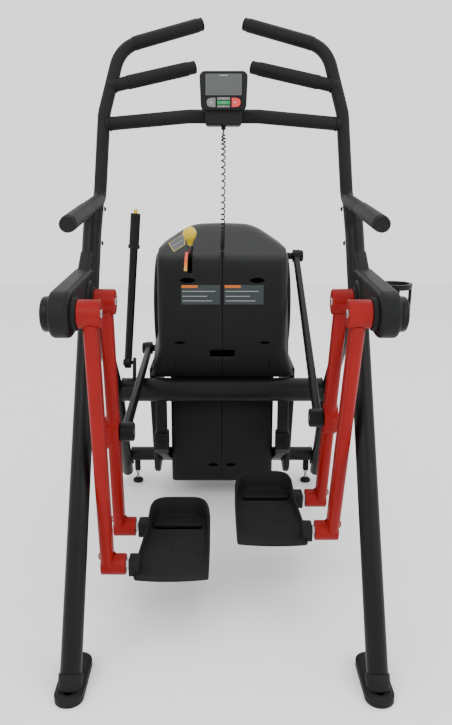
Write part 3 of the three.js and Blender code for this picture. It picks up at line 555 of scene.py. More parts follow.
for side, s in SIDES:
    corners = [at(s * x, y, z) for x, y, z in BAR_CORNERS]
    line = bent(corners, [0.046, 0.12, 0.12])
    node = f"handlebar_{side}"
    stands_for(finished(f"bar_{side}", pipe(line, BAR_RADIUS - 0.0008, 44), "black_grip"), node)
    total = sum((b - a).length for a, b in zip(line, line[1:]))
    trim(finished(f"side_grip_{side}", sleeve_on(line, 0.004, 0.27, BAR_RADIUS + 0.0008), "black_grip"), node)
    trim(finished(f"top_grip_{side}", sleeve_on(line, total - 0.235, total - 0.004, BAR_RADIUS + 0.0008),
                  "black_grip"), node)
    end_cap(f"side_grip_end_{side}", corners[0], corners[0] - corners[1], BAR_RADIUS - 0.0005, node)
    end_cap(f"top_grip_end_{side}", corners[-1], corners[-1] - corners[-2], BAR_RADIUS - 0.0005, node)

    ends = [at(s * 347, 252, 1578), at(s * 90, 330, 1645)]
    node = f"middle_grip_{side}"
    stands_for(finished(f"mid_bar_{side}", pipe(ends, BAR_RADIUS - 0.0008, 44), "black_grip"), node)
    trim(finished(f"mid_grip_{side}", sleeve_on(ends, 0.05, 0.265, BAR_RADIUS + 0.0008), "black_grip"), node)
    end_cap(f"mid_grip_end_{side}", ends[1], ends[1] - ends[0], BAR_RADIUS - 0.0005, node)
    root = at(s * 336, 256, 1581)
    weld(f"mid_weld_{side}", root.lerp(ends[1], 0.035), ends[1] - ends[0], BAR_RADIUS, node)

crossbar_line = bent([at(-352, 220, 1469), at(-104, 200, 1489), at(104, 200, 1489), at(352, 220, 1469)], 0.12)
stands_for(finished("crossbar", pipe(crossbar_line, BAR_RADIUS, 44), "black_grip"), "console_crossbar")
for side, s in SIDES:
    weld(f"crossbar_weld_{side}", at(s * 339, 219, 1470), (s, 0.1, -0.08), BAR_RADIUS, "console_crossbar")


# ---------------------------------------------------------------- console
FACE_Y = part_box("console_housing")[0].y
HOUSE_LOW, HOUSE_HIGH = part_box("console_housing")
CLAMP_HALF = 0.054
CLAMP_TOP = 1.517


def upright_outline(half, low, high, radius, taper=0.0):
    """A rounded outline in X and Z whose lower edge may be narrower."""
    points = rounded(CENTRE_X - half, low, CENTRE_X + half, high, radius, 10)
    span = high - low
    return [(CENTRE_X + (a - CENTRE_X) * (1 - taper * (1 - (b - low) / span) ** 2), b) for a, b in points]


def console():
    crown = upright_outline(0.0695, 1.500, HOUSE_HIGH.z, 0.016, 0.06)
    rings = []
    for y, shrink in ((FACE_Y + 0.0035, 0.93), (FACE_Y, 0.90), (FACE_Y, 0.985), (FACE_Y + 0.006, 1.0)):
        rings.append((y, shrink))
    shell = []
    for y, scale in ((FACE_Y, 0.955), (FACE_Y + 0.0012, 0.975), (FACE_Y + 0.006, 1.0), (FACE_Y + 0.034, 1.0),
                     (FACE_Y + 0.044, 0.94)):
        shell.append([Vector((CENTRE_X + (a - CENTRE_X) * scale, y, 1.554 + (b - 1.554) * scale)) for a, b in crown])
    return loft(shell)


housing = finished("console_case", console(), "moulded_plastic", sharp=50)
stands_for(housing, "console_housing")
clamp = slab(upright_outline(CLAMP_HALF, HOUSE_LOW.z, CLAMP_TOP, 0.009), FACE_Y + 0.012, HOUSE_HIGH.y - 0.001, "Y")
trim(finished("console_clamp", clamp, "moulded_plastic", bevel=0.006, segments=5), "console_housing")
screen_low, screen_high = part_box("display_lens")
def key_outline(node):
    low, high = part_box(node)
    mid = (low.z + high.z) / 2
    if node in ("key_mode", "key_stop"):
        inner, tip = (high.x, low.x) if node == "key_mode" else (low.x, high.x)
        half = (high.z - low.z) / 2
        reach = tip - inner
        curve = []
        for k in range(25):
            t = -1 + 2 * k / 24
            curve.append((inner + reach * (0.42 + 0.58 * math.sqrt(max(0.0, 1 - abs(t) ** 2.6))), mid + half * t))
        return [(inner, low.z), *curve, (inner, high.z)]
    return rounded(low.x, low.z, high.x, high.z, 0.0012, 5)


KEYS = ("key_mode", "key_up", "key_start", "key_down", "key_stop")
KEY_GAP = 0.0003


def grown(outline, gap):
    """The same outline, larger by gap on every side."""
    xs, zs = zip(*outline)
    mid_a, mid_b = (min(xs) + max(xs)) / 2, (min(zs) + max(zs)) / 2
    wide, tall = 1 + 2 * gap / (max(xs) - min(xs)), 1 + 2 * gap / (max(zs) - min(zs))
    return [(mid_a + (a - mid_a) * wide, mid_b + (b - mid_b) * tall) for a, b in outline]


def pierced(outline, holes, low, high):
    """A plate facing Y with through holes; the outlines are in X and Z."""
    loops = [[Vector((a, b, 0)) for a, b in loop] for loop in (outline, *holes)]
    flat = [point for loop in loops for point in loop]
    count = len(flat)
    verts = [Vector((p.x, low, p.y)) for p in flat] + [Vector((p.x, high, p.y)) for p in flat]
    faces = []
    for a, b, c in tessellate_polygon(loops):
        faces += [(a, b, c), (count + c, count + b, count + a)]
    start = 0
    for loop in loops:
        for k in range(len(loop)):
            a, b = start + k, start + (k + 1) % len(loop)
            faces.append((a, count + a, count + b, b))
        start += len(loop)
    return verts, faces


surround = pierced(rounded(screen_low.x - 0.004, 1.5035, screen_high.x + 0.004, 1.6030, 0.006),
                   [grown(key_outline(node), KEY_GAP) for node in KEYS], FACE_Y - 0.0004, FACE_Y + 0.004)
trim(finished("console_face", surround, "black_grip"), "console_housing")
glass = slab(rounded(screen_low.x, screen_low.z, screen_high.x, screen_high.z, 0.0025), FACE_Y - 0.0012,
             FACE_Y + 0.0022, "Y")
stands_for(finished("display_window", glass, "display_grey", bevel=0.0004, segments=2), "display_lens")
border = slab(rounded(screen_low.x + 0.006, screen_low.z + 0.006, screen_high.x - 0.006, screen_high.z - 0.009, 0.002),
              FACE_Y - 0.00145, FACE_Y - 0.0009, "Y")
SEGMENT_GREY = material("display_area", (0.068, 0.072, 0.07), 0.25, grain=300, bump=0.03, mottle=0.03)
trim(finished("display_area", border, SEGMENT_GREY), "display_lens")
badge = slab(rounded(CENTRE_X - 0.012, screen_high.z - 0.0058, CENTRE_X + 0.012, screen_high.z - 0.0036, 0.001),
             FACE_Y - 0.00145, FACE_Y - 0.0009, "Y")
trim(finished("display_bar", badge, LABEL_WHITE), "display_lens")


for node in KEYS:
    low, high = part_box(node)
    key = slab(key_outline(node), low.y, high.y, "Y")
    stands_for(finished(node + "_cap", key, SLOT_OF[node], bevel=0.0006, segments=3), node)
    mark_z = (low.z + high.z) / 2
    mark_x = (low.x + high.x) / 2
    if node in ("key_up", "key_down"):
        sign = 1 if node == "key_up" else -1
        mark = [(mark_x - 0.0034, mark_z - sign * 0.0013), (mark_x + 0.0034, mark_z - sign * 0.0013),
                (mark_x, mark_z + sign * 0.0017)]
    elif node == "key_start":
        mark = rounded(mark_x - 0.006, mark_z - 0.0008, mark_x + 0.006, mark_z + 0.0008, 0.0006, 4)
    elif node == "key_stop":
        mark = rounded(mark_x - 0.0062, mark_z - 0.0026, mark_x - 0.0008, mark_z + 0.0026, 0.001, 4)
    else:
        mark = arc((mark_x + 0.001, mark_z), 0.003, 0, 2 * math.pi * 0.96, 24)
    glyph = slab(mark, low.y - 0.0002, low.y + 0.0004, "Y")
    trim(finished(node + "_mark", glyph, LABEL_WHITE), node)

# ---------------------------------------------------------------- front frame
CROSS = middle("main_cross_tube")
LOW = middle("lower_cross_tube")
CROSS_RADIUS = 0.045
LOW_RADIUS = 0.030
SIDE_RADIUS = 0.025
cross_half = 0.384


def x_tube(name, node, centre_yz, radius, half, look="black_frame"):
    ends = [Vector((CENTRE_X - half, *centre_yz)), Vector((CENTRE_X + half, *centre_yz))]
    return stands_for(finished(name, pipe(ends, radius, 56), look), node)


x_tube("cross_tube", "main_cross_tube", yz(580, 530), CROSS_RADIUS, cross_half)
x_tube("front_tube", "lower_cross_tube", yz(910, 137), LOW_RADIUS, 0.400)
for side, s in SIDES:
    line = bent([at(s * 405, 118, 984), at(s * 405, 580, 530), at(s * 425, 960, 32)], 0.26)
    stands_for(finished(f"side_tube_{side}", pipe(line, SIDE_RADIUS, 44, 0.008), "black_frame"), f"side_frame_{side}")
    for tag, y, z, radius, x in (("cross", 580, 530, CROSS_RADIUS, 381), ("front", 910, 137, LOW_RADIUS, 394)):
        weld(f"{tag}_weld_{side}", at(s * x, y, z), (1, 0, 0), radius, f"side_frame_{side}")
    collar = pipe([at(s * 375, 922, 56), at(s * 375, 922, 112)], 0.013, 32, 0.0015)
    trim(finished(f"leveler_sleeve_{side}", collar, "black_frame"), "lower_cross_tube")
    foot = [(0, 0), (0, 0.0195), (0.0025, 0.0222), (0.010, 0.0225), (0.0135, 0.021), (0.019, 0.012), (0.021, 0.0098),
            (0.021, 0.0)]
    spot = at(s * 375, 922, 0)
    stands_for(finished(f"leveler_foot_{side}", turned(foot, spot, "Z", 48), "black_rubber", sharp=50),
               f"leveler_{side}")
    thread = [(0.020, 0.0)]
    for k in range(30):
        z = 0.020 + k * 0.00135
        thread += [(z, 0.0054), (z + 0.00067, 0.0060)]
    thread += [(0.061, 0.0)]
    trim(finished(f"leveler_stud_{side}", turned(thread, spot, "Z", 28), "steel", sharp=80), f"leveler_{side}")
    nut = [[spot + Vector((math.cos(a) * 0.0105, math.sin(a) * 0.0105, z)) for a in (math.pi / 3 * k for k in range(6))]
           for z in (0.046, 0.0545)]
    trim(finished(f"leveler_nut_{side}", loft(nut), "steel", bevel=0.0008), f"leveler_{side}")
    bolt(f"front_bolt_{side}", at(s * 399, 925, 90), (-s, 0, 0), 0.008, f"side_frame_{side}", "black_frame")

    x0, x1 = ordered(CENTRE_X + s * 0.216, CENTRE_X + s * 0.258)
    post = slab([yz(y, z) for y, z in ((580, 505), (580, 285), (592, 266), (872, 122), (892, 156), (634, 292),
                                       (624, 306), (624, 505))], x0, x1)
    stands_for(finished(f"post_{side}", post, "black_frame", bevel=0.006, segments=4), f"inner_post_{side}")
    x0, x1 = ordered(CENTRE_X + s * 0.210, CENTRE_X + s * 0.264)
    bracket = slab([yz(y, z) for y, z in ((574, 352), (574, 286), (600, 262), (630, 290), (630, 352))], x0, x1)
    trim(finished(f"post_bracket_{side}", bracket, "black_frame", bevel=0.003), f"inner_post_{side}")
    for k, (dx, z) in enumerate(((228, 334), (246, 334), (228, 310), (246, 310), (237, 322))):
        bolt(f"post_bolt_{side}_{k}", at(s * dx, 574, z), (0, -1, 0), 0.0048, f"inner_post_{side}", "black_frame")

# ---------------------------------------------------------------- arms
HUB_RADIUS = 0.037
ARM_HALF_DEPTH = 0.031
ROD_SHARE = 0.420 / 0.770


def oval_bar(start, end, half_depth, half_width, narrow=1.0, steps=1):
    """A bar with a flat-oval section between two points in one X plane; its depth narrows to the far end."""
    along = (end - start).normalized()
    across = along.cross(Vector((1, 0, 0))).normalized()
    rings = []
    for share in [k / steps for k in range(steps + 1)]:
        depth = half_depth * (1 + (narrow - 1) * share)
        corner = half_width * 0.82
        ring = [Vector((a, 0, b)) for a, b in rounded(-half_width, -depth, half_width, depth, corner, 8)]
        rings.append([start.lerp(end, share) + Vector((1, 0, 0)) * p.x + across * p.z for p in ring])
    return loft(rings)


for side, s in SIDES:
    for end, hip in (("rear", PIVOT[f"rear_arm_{side}_swing"]), ("front", PIVOT[f"front_arm_{side}_swing"])):
        node = f"{end}_arm_{side}"
        pedal_pivot = PIVOT[f"pedal_{side}_tilt"]
        foot = pedal_pivot + (hip - PIVOT[f"front_arm_{side}_swing"])
        bar_x = CENTRE_X + s * 0.340
        top = Vector((bar_x, hip.y, hip.z))
        low_end = Vector((bar_x, foot.y, foot.z))
        pieces = [oval_bar(top.lerp(low_end, 0.030), top.lerp(low_end, 0.985), ARM_HALF_DEPTH, 0.018)]
        x_in, x_out = CENTRE_X + s * 0.312, CENTRE_X + s * 0.371
        hub = turned([(x_in, 0), (x_in, HUB_RADIUS - 0.002), (x_in + s * 0.002, HUB_RADIUS),
                      (x_out - s * 0.002, HUB_RADIUS), (x_out, HUB_RADIUS - 0.002), (x_out, 0)], hip)
        x_in, x_out = CENTRE_X + s * 0.2855, CENTRE_X + s * 0.358
        stub = turned([(x_in, 0), (x_in, 0.029), (x_in + s * 0.002, 0.031), (x_out - s * 0.002, 0.031),
                       (x_out, 0.029), (x_out, 0)], foot)
        arm = finished(f"arm_{end}_{side}", merged(*pieces, hub, stub), "red_paint")
        stands_for(arm, node)
        direction = (low_end - top).normalized()
        weld(f"arm_weld_{end}_{side}", low_end - direction * 0.030, direction, 0.0245, node).data.materials[0] = (
            LOOK["red_paint"])
        if end == "front":
            joint = top.lerp(low_end, ROD_SHARE)
            x_in, x_out = CENTRE_X + s * 0.3218, CENTRE_X + s * 0.363
            collar = [Vector((x_in, p[0], p[1])) for p in belt((0, -0.022), 0.034, (0, 0.022), 0.034)]
            tilt = Matrix.Rotation(math.atan2(direction.y, -direction.z), 4, "X")
            rings = []
            for x, scale in ((x_in, 0.94), (x_in + s * 0.003, 1.0), (x_out - s * 0.003, 1.0), (x_out, 0.94)):
                ring = [tilt @ Vector((0, p.y * scale, p.z * scale)) + Vector((x, joint.y, joint.z)) for p in collar]
                rings.append(ring)
            trim(finished(f"rod_seat_{side}", loft(rings), "red_paint"), node)

# ---------------------------------------------------------------- rods
for side, s in SIDES:
    node = f"rod_{side}"
    joint = PIVOT[f"rod_{side}_swing"]
    crank = PIVOT["crank_turn"]
    lean = math.radians(6.5)
    pin = crank + Vector((0, math.sin(lean), math.cos(lean))) * 0.190 * (1 if s > 0 else -1)
    low_end = Vector((CENTRE_X + s * 0.3035, joint.y, joint.z))
    top = Vector((CENTRE_X + s * 0.3035, pin.y, pin.z))
    along = (top - low_end).normalized()
    rings = []
    for share, depth in ((0.02, 0.0205), (0.2, 0.0195), (0.6, 0.0170), (0.97, 0.0150)):
        outline = rounded(-0.0122, -depth, 0.0122, depth, 0.0085, 7)
        across = along.cross(Vector((1, 0, 0))).normalized()
        rings.append([low_end.lerp(top, share) + Vector((a, 0, 0)) + across * b for a, b in outline])
    bar = loft(rings)
    a, b = CENTRE_X + s * 0.276, CENTRE_X + s * 0.3200
    low_eye = turned([(a, 0), (a, 0.027), (a + s * 0.003, 0.030), (b - s * 0.003, 0.030), (b, 0.027), (b, 0)], joint)
    a, b = CENTRE_X + s * 0.289, CENTRE_X + s * 0.320
    high_eye = turned([(a, 0), (a, 0.024), (a + s * 0.002, 0.026), (b - s * 0.002, 0.026), (b, 0.024), (b, 0)], pin)
    a = CENTRE_X + s * 0.2655
    stub = turned([(a, 0), (a, 0.014), (a + s * 0.026, 0.014), (a + s * 0.026, 0)], pin)
    stands_for(finished(f"rod_bar_{side}", merged(bar, low_eye, high_eye, stub), "black_frame"), node)
    a = CENTRE_X + s * 0.3185
    cap = turned([(a, 0), (a, 0.0215), (a + s * 0.004, 0.024), (a + s * 0.010, 0.0235), (a + s * 0.0135, 0.019),
                  (a + s * 0.0135, 0.010), (a + s * 0.0125, 0.009), (a + s * 0.0125, 0)], pin)
    trim(finished(f"rod_cap_{side}", cap, "black_rubber"), node)
    a = CENTRE_X + s * 0.2755
    ring = turned([(a - s * 0.0002, 0), (a - s * 0.0002, 0.0115), (a + s * 0.0015, 0.0115), (a + s * 0.0015, 0)], joint)
    trim(finished(f"rod_ring_{side}", ring, "steel"), node)
    a = CENTRE_X + s * 0.315
    pivot_pin = turned([(a, 0), (a, 0.0088), (a + s * 0.0308, 0.0088), (a + s * 0.0308, 0)], joint, sides=32)
    trim(finished(f"rod_pin_{side}", pivot_pin, "steel"), node)

# ---------------------------------------------------------------- pedals
DECK_DROP = 0.014
DECK_THICK = 0.018
TOE_TOP = 0.052


def quad(p0, p1, p2, steps=10):
    return [((1 - t) ** 2 * p0[0] + 2 * t * (1 - t) * p1[0] + t * t * p2[0],
             (1 - t) ** 2 * p0[1] + 2 * t * (1 - t) * p1[1] + t * t * p2[1]) for t in (k / steps for k in range(steps + 1))]


def along_rows(rows, place):
    """The value at a place on a table of (place, value) rows."""
    for (a, low_value), (b, high_value) in zip(rows, rows[1:]):
        if place <= b:
            return low_value + (high_value - low_value) * max(0.0, (place - a) / (b - a))
    return rows[-1][1]


def tray_outline():
    """The pedal's plan as X from the centre plane and Y from the rear pivot, in metres."""
    points = quad((0.045, -0.038), (0.155, -0.058), (0.258, -0.042), 18)
    points += quad((0.2615, -0.036), (0.263, 0.0), (0.2615, 0.040), 5)
    points += quad((0.2600, 0.060), (0.2520, 0.160), (0.2440, 0.258), 8)
    points += quad((0.2420, 0.285), (0.2340, 0.345), (0.188, 0.3478), 12)
    points += quad((0.170, 0.348), (0.140, 0.348), (0.112, 0.3478), 5)
    points += quad((0.095, 0.3470), (0.048, 0.342), (0.0415, 0.250), 14)
    points += quad((0.0412, 0.20), (0.0405, 0.08), (0.0430, -0.030), 8)
    return points


WALL_TOP = [(-0.06, 0.0), (-0.034, 0.001), (0.03, 0.008), (0.21, 0.024), (0.25, 0.044), (0.285, 0.060), (0.32, 0.066),
            (0.36, 0.066)]
TRAY_MIDDLE = (0.152, 0.150)
TRAY_HALF = (0.110, 0.198)


def tray(side, s):
    front_pivot = PIVOT[f"pedal_{side}_tilt"]
    rear_pivot = front_pivot + PIVOT[f"rear_arm_{side}_swing"] - PIVOT[f"front_arm_{side}_swing"]
    top = rear_pivot.z - DECK_DROP
    outline = tray_outline()

    def ring(inset, height):
        row = []
        for x, y in outline:
            a = TRAY_MIDDLE[0] + (x - TRAY_MIDDLE[0]) * (1 - inset / TRAY_HALF[0])
            b = TRAY_MIDDLE[1] + (y - TRAY_MIDDLE[1]) * (1 - inset / TRAY_HALF[1])
            row.append(Vector((CENTRE_X + s * a, rear_pivot.y + b, top + height(along_rows(WALL_TOP, y), y))))
        return row

    heel = lambda y: min(1.0, max(0.0, (0.02 - y) / 0.05))
    rings = [ring(0.010, lambda w, y: -DECK_THICK + 0.001), ring(0.003, lambda w, y: -DECK_THICK),
             ring(0.0, lambda w, y: -DECK_THICK + 0.004), ring(0.0, lambda w, y: w - 0.003 - 0.007 * heel(y)),
             ring(0.0015, lambda w, y: w - 0.0005 - 0.005 * heel(y)), ring(0.0060, lambda w, y: w - 0.003 * heel(y)),
             ring(0.0085, lambda w, y: max(w - 0.003, 0.0)), ring(0.0105, lambda w, y: max(min(w - 0.012, 0.012), 0.0)),
             ring(0.0125, lambda w, y: max(min(w - 0.016, 0.004), 0.0)), ring(0.016, lambda w, y: 0.0)]
    made = finished(f"tray_{side}", loft(rings), "black_rubber", sharp=48)
    stands_for(made, f"pedal_{side}")

    def on_deck(x, y, z=0.0):
        return Vector((CENTRE_X + s * x, rear_pivot.y + y, top + z))

    # Raised tread: curved bars and rows of dots, on the middle of the deck.
    bars = []
    for k in range(10):
        y = 0.060 + k * 0.0165
        for x0, x1 in ((0.070, 0.128), (0.172, 0.226)):
            line = [on_deck(x0 + (x1 - x0) * t, y + 0.006 * math.sin(math.pi * t), -0.0002) for t in (j / 8 for j in range(9))]
            bars.append(pipe(line, 0.0011, 8, 0.0006))
    dots = []
    for x in (0.060, 0.140, 0.160, 0.236):
        for k in range(10):
            dots.append(turned([(top - 0.001, 0), (top - 0.001, 0.0020), (top + 0.0009, 0.0014), (top + 0.0009, 0)],
                               on_deck(x - 0.010 * (k / 9) * (x > 0.2), 0.060 + k * 0.0165), "Z", 10))
    trim(finished(f"tray_tread_{side}", merged(*bars, *dots), "black_rubber"), f"pedal_{side}")

    # A low arched shelf against the toe wall, with a groove before it drawn as a near-black strip of painted shade.
    shelf = quad((0.070, 0.268), (0.105, 0.300), (0.150, 0.302), 8) + quad((0.152, 0.302), (0.195, 0.300), (0.228, 0.268), 8)
    shelf = [(0.228, 0.252), (0.070, 0.252), *shelf]
    rings = [[on_deck(x, y, z) for x, y in shelf] for z in (-0.002, 0.0085)]
    rings.append([on_deck(0.15 + (x - 0.15) * 0.985, 0.278 + (y - 0.278) * 0.94, 0.0105) for x, y in shelf])
    trim(finished(f"tray_shelf_{side}", loft(rings), "moulded_plastic", bevel=0.0015), f"pedal_{side}")
    groove = slab([(CENTRE_X + s * x, rear_pivot.y + y) for x, y in ((0.072, 0.240), (0.226, 0.240), (0.226, 0.2515),
                                                                    (0.072, 0.2515))], top - 0.001, top + 0.0006, "Z")
    trim(finished(f"tray_groove_shade_{side}", groove, PAINTED_SHADE_BLACK), f"pedal_{side}")

    # Pivot housings on the outer edge.
    for tag, pivot, start in (("rear", rear_pivot, 0.244), ("front", front_pivot, 0.234)):
        a, b = ordered(CENTRE_X + s * start, CENTRE_X + s * 0.2765)
        block = slab(rounded(pivot.y - 0.030, pivot.z - 0.030, pivot.y + 0.030, pivot.z + 0.024, 0.014), a, b)
        trim(finished(f"tray_block_{tag}_{side}", block, "black_rubber", bevel=0.003), f"pedal_{side}")
        a, b = CENTRE_X + s * 0.276, CENTRE_X + s * 0.2848
        spacer = turned([(a, 0), (a, 0.015), (b, 0.015), (b, 0)], pivot, sides=32)
        trim(finished(f"tray_spacer_{tag}_{side}", spacer, "steel"), f"pedal_{side}")
        a, b = CENTRE_X + s * 0.2848, CENTRE_X + s * 0.319
        spindle = turned([(a, 0), (a, 0.0088), (b, 0.0088), (b, 0)], pivot, sides=32)
        trim(finished(f"tray_spindle_{tag}_{side}", spindle, "steel"), f"pedal_{side}")


for side, s in SIDES:
    tray(side, s)

# ---------------------------------------------------------------- upper covers
SHELL_HALF = 243
SIDE_ROUND = 38
CROWN_BLEND = 9.0
FLARE = 0.15
SHELL_MIDDLE = 840
SLOT_RANGE = (660, 687)
LEVER_SLOT = (112, 126, 978, 1062)

CROWN = [(0, 1138), *quad((80, 1135), (124, 1133), (165, 1108)), (SHELL_HALF, 1057)]
REAR_SIDE = [(690, 612), (640, 589), (606, 573), (602, 586), (592, 615), (583, 643), (578, SLOT_RANGE[0]), (576, 666),
             (572, SLOT_RANGE[1]), *quad((571, 692), (558, 750), (558, 830), 12), (564, 886), (569, 933),
             (573.7, LEVER_SLOT[2]), (575, 990), *quad((575.5, 993), (582, 1030), (630, 1044), 10), (655, 1053),
             (681, LEVER_SLOT[3])]
FRONT_SIDE = [(720, 1076), (760, 1090), (810, 1108), (860, 1126), *quad((900, 1140), (990, 1166), (1040, 1110), 14),
              *quad((1045, 1103), (1120, 1000), (1122, 820), 14), (1112, 716), (1100, 612)]
PROFILE = REAR_SIDE + FRONT_SIDE
STATIONS = [0.15, 1.6, 3.0, 20, 46, 58, 70, 82, 94, 103, LEVER_SLOT[0], LEVER_SLOT[1], 137, 150, 163, 174, 183, 192, 200,
            207, 213, 218, 222, 226, 229, 232, 235, 237.5, 239.5, 241.2, 242.4, 243]


def soft_min(a, b, blend):
    gap = max(0.0, blend - abs(a - b)) / blend
    return min(a, b) - gap * gap * blend / 4


def shell_point(s, x, y, z):
    """A point of the cover's skin: the profile cut by the crown, with rounded side edges and a seam groove."""
    height = soft_min(z, along_rows(CROWN, x), CROWN_BLEND) if z > 700 else z
    into = max(0.0, x - (SHELL_HALF - SIDE_ROUND)) / SIDE_ROUND
    pull = SIDE_ROUND * (1 - math.sqrt(max(0.0, 1 - into * into))) * min(1.0, abs(y - SHELL_MIDDLE) / 220)
    if x < 1:
        pull += 1.3
    toward = 1 if y < SHELL_MIDDLE else -1
    low_share = min(1.0, max(0.0, (700 - z) / 125)) ** 1.3 * min(1.0, max(0.0, (660 - y) / 50))
    widen = 1 + FLARE * low_share * (x / SHELL_HALF) ** 2
    return at(s * x * widen, y + toward * pull, height - (1.3 if x < 1 and z > 1000 else 0))


def shell_half(side, s):
    verts = [shell_point(s, x, y, z) for x in STATIONS for y, z in PROFILE]
    count = len(PROFILE)
    faces = []
    for i, (x0, x1) in enumerate(zip(STATIONS, STATIONS[1:])):
        for k in range(count - 1):
            z0, z1 = PROFILE[k][1], PROFILE[k + 1][1]
            in_slot = x1 <= 46 and z0 >= SLOT_RANGE[0] and z1 <= SLOT_RANGE[1] and k < len(REAR_SIDE)
            in_lever = (side == "left" and x0 >= LEVER_SLOT[0] and x1 <= LEVER_SLOT[1] and z0 >= LEVER_SLOT[2]
                        and z1 <= LEVER_SLOT[3] and k < len(REAR_SIDE))
            if not in_slot and not in_lever:
                a = i * count + k
                faces.append((a, a + 1, a + 1 + count, a + count))
    last = (len(STATIONS) - 1) * count
    faces.append(tuple(range(last, last + count)))
    return verts, faces


def cover_patch(name, corners, look, node, direction=(0, 1, 0), steps=(12, 6), lift=0.0005):
    """A thin film on a cover, from four corners given in order, each cast along direction onto the skin."""
    aim = Vector(direction).normalized()
    columns, rows = steps
    verts = []
    for j in range(rows + 1):
        for i in range(columns + 1):
            a = corners[0].lerp(corners[1], i / columns)
            b = corners[3].lerp(corners[2], i / columns)
            origin = a.lerp(b, j / rows) - aim * 0.4
            hit, normal, *_ = SKINS[node].ray_cast(origin, aim)
            if hit is None:
                return None
            outward = normal if normal.dot(aim) < 0 else -normal
            verts.append(hit + outward * lift)
    faces = [(j * (columns + 1) + i, j * (columns + 1) + i + 1, (j + 1) * (columns + 1) + i + 1,
              (j + 1) * (columns + 1) + i) for j in range(rows) for i in range(columns)]
    made = new_object(name, verts, faces)
    made.data.materials.append(look)
    made.data.shade_smooth()
    return trim(made, node)


def cover_dimple(name, centre, half_wide, half_high, node, s):
    """A shallow oval finger hollow, drawn as a dark almond of painted shade with a lit lower lip in the cover's own
    plastic.
    """
    for tag, look, grow, drop, lift in (("lip", LOOK["moulded_plastic"], 1.12, -0.0016, 0.0004),
                                        ("dent_shade", PAINTED_SHADE_BLACK, 1.0, 0.0, 0.0008)):
        points = []
        for k in range(28):
            angle = 2 * math.pi * k / 28
            across = math.cos(angle) * half_wide * grow
            up = math.sin(angle) * half_high * grow * (1 - 0.45 * abs(math.cos(angle)) ** 3) + drop
            origin = centre + Vector((across, -0.4, up))
            hit, *_ = SKINS[node].ray_cast(origin, Vector((0, 1, 0)))
            points.append(hit - Vector((0, lift, 0)))
        made = new_object(f"{name}_{tag}", [*points, sum(points, Vector()) / len(points)],
                          [(k, (k + 1) % 28, 28) for k in range(28)])
        made.data.materials.append(look)
        made.data.shade_smooth()
        trim(made, node)


SKINS = {}
for side, s in SIDES:
    node = f"upper_cover_{side}"
    verts, faces = shell_half(side, s)
    shell = finished(f"cover_{side}", (verts, faces), "moulded_plastic", sharp=38)
    SKINS[node] = BVHTree.FromPolygons(verts, faces)
    wall = shell.modifiers.new("wall", "SOLIDIFY")
    wall.thickness = 0.004
    wall.offset = -1
    stands_for(shell, node)
    for tag, spot, wide, high in (("upper", at(s * 128, 571, 951), 0.029, 0.0095), ("lower", at(s * 160, 566, 717), 0.021, 0.0048)):
        cover_dimple(f"cover_grip_{tag}_{side}", spot, wide, high, node, s)
    # Each groove is two thin strips: one in the cover's own plastic, and one near-black strip of painted shade for the
    # shade in the groove.
    for k, x in enumerate((172, 179)):
        cover_patch(f"cover_groove_{side}_{k}", [at(s * x, 560, 656), at(s * (x + 1.4), 560, 656), at(s * (x + 3.4), 560, 598),
                                                 at(s * (x + 2.0), 560, 598)], PAINTED_SHADE_BLACK if k else LOOK["moulded_plastic"],
                    node, steps=(1, 10))

# Painted shade: a near-black strip behind the seam between the cover halves, so the gap shows shade.
seam_rows = [(y, z) for y, z in REAR_SIDE if z > SLOT_RANGE[1]]
seam_shade_verts = [at(x, y + 7, z) for x in (-5, 5) for y, z in seam_rows]
seam_shade_faces = [(k, k + 1, len(seam_rows) + k + 1, len(seam_rows) + k) for k in range(len(seam_rows) - 1)]
trim(finished("cover_seam_shade_back", (seam_shade_verts, seam_shade_faces), PAINTED_SHADE_BLACK), "upper_cover_right")
# Painted shade: a near-black block behind the slot, so the opening shows shade instead of light coming through.
slot_shade_back = slab([(CENTRE_X - 0.052, 0.652), (CENTRE_X + 0.052, 0.652), (CENTRE_X + 0.052, 0.694), (CENTRE_X - 0.052, 0.694)],
                 at(0, 583, 0).y, at(0, 600, 0).y, "Y")
trim(finished("cover_slot_shade_back", slot_shade_back, PAINTED_SHADE_BLACK), "upper_cover_right")

RED_TO_YELLOW = graded("strength_strip", [(0.0, (0.62, 0.36, 0.05)), (0.45, (0.60, 0.13, 0.03)), (1.0, (0.56, 0.02, 0.02))],
                       2, 0.985, 1.046)
left = "upper_cover_left"
cover_patch("strength_strip", [at(-142, 560, 985), at(-130.5, 560, 985), at(-127.5, 560, 1048), at(-138.5, 560, 1048)],
            RED_TO_YELLOW, left, steps=(3, 30))
PANEL_YELLOW = material("panel_yellow", (0.50, 0.42, 0.04), 0.5, grain=500, bump=0.05, mottle=0.05)
panel = [at(-207, 716, 1300), at(-152, 812, 1300), at(-141, 704, 1300), at(-182, 640, 1300)]
inner_panel = [corner.lerp(sum(panel, Vector()) / 4, 0.07) for corner in panel]
cover_patch("panel_edge", panel, PANEL_YELLOW, left, (0, 0, -1), (10, 10), 0.0006)
cover_patch("panel_film", inner_panel, PANEL_GREY, left, (0, 0, -1), (10, 10), 0.0011)
for k, share in enumerate((0.38, 0.52, 0.66)):
    ends = [inner_panel[0].lerp(inner_panel[3], share), inner_panel[1].lerp(inner_panel[2], share)]
    a, b = ends[0].lerp(ends[1], 0.12), ends[0].lerp(ends[1], 0.86)
    wide = Vector((0.0009, -0.0009, 0))
    cover_patch(f"panel_bar_{k}", [a - wide, b - wide, b + wide, a + wide], LABEL_GREY if k != 1 else LABEL_WHITE, left,
                (0, 0, -1), (8, 1), 0.0015)

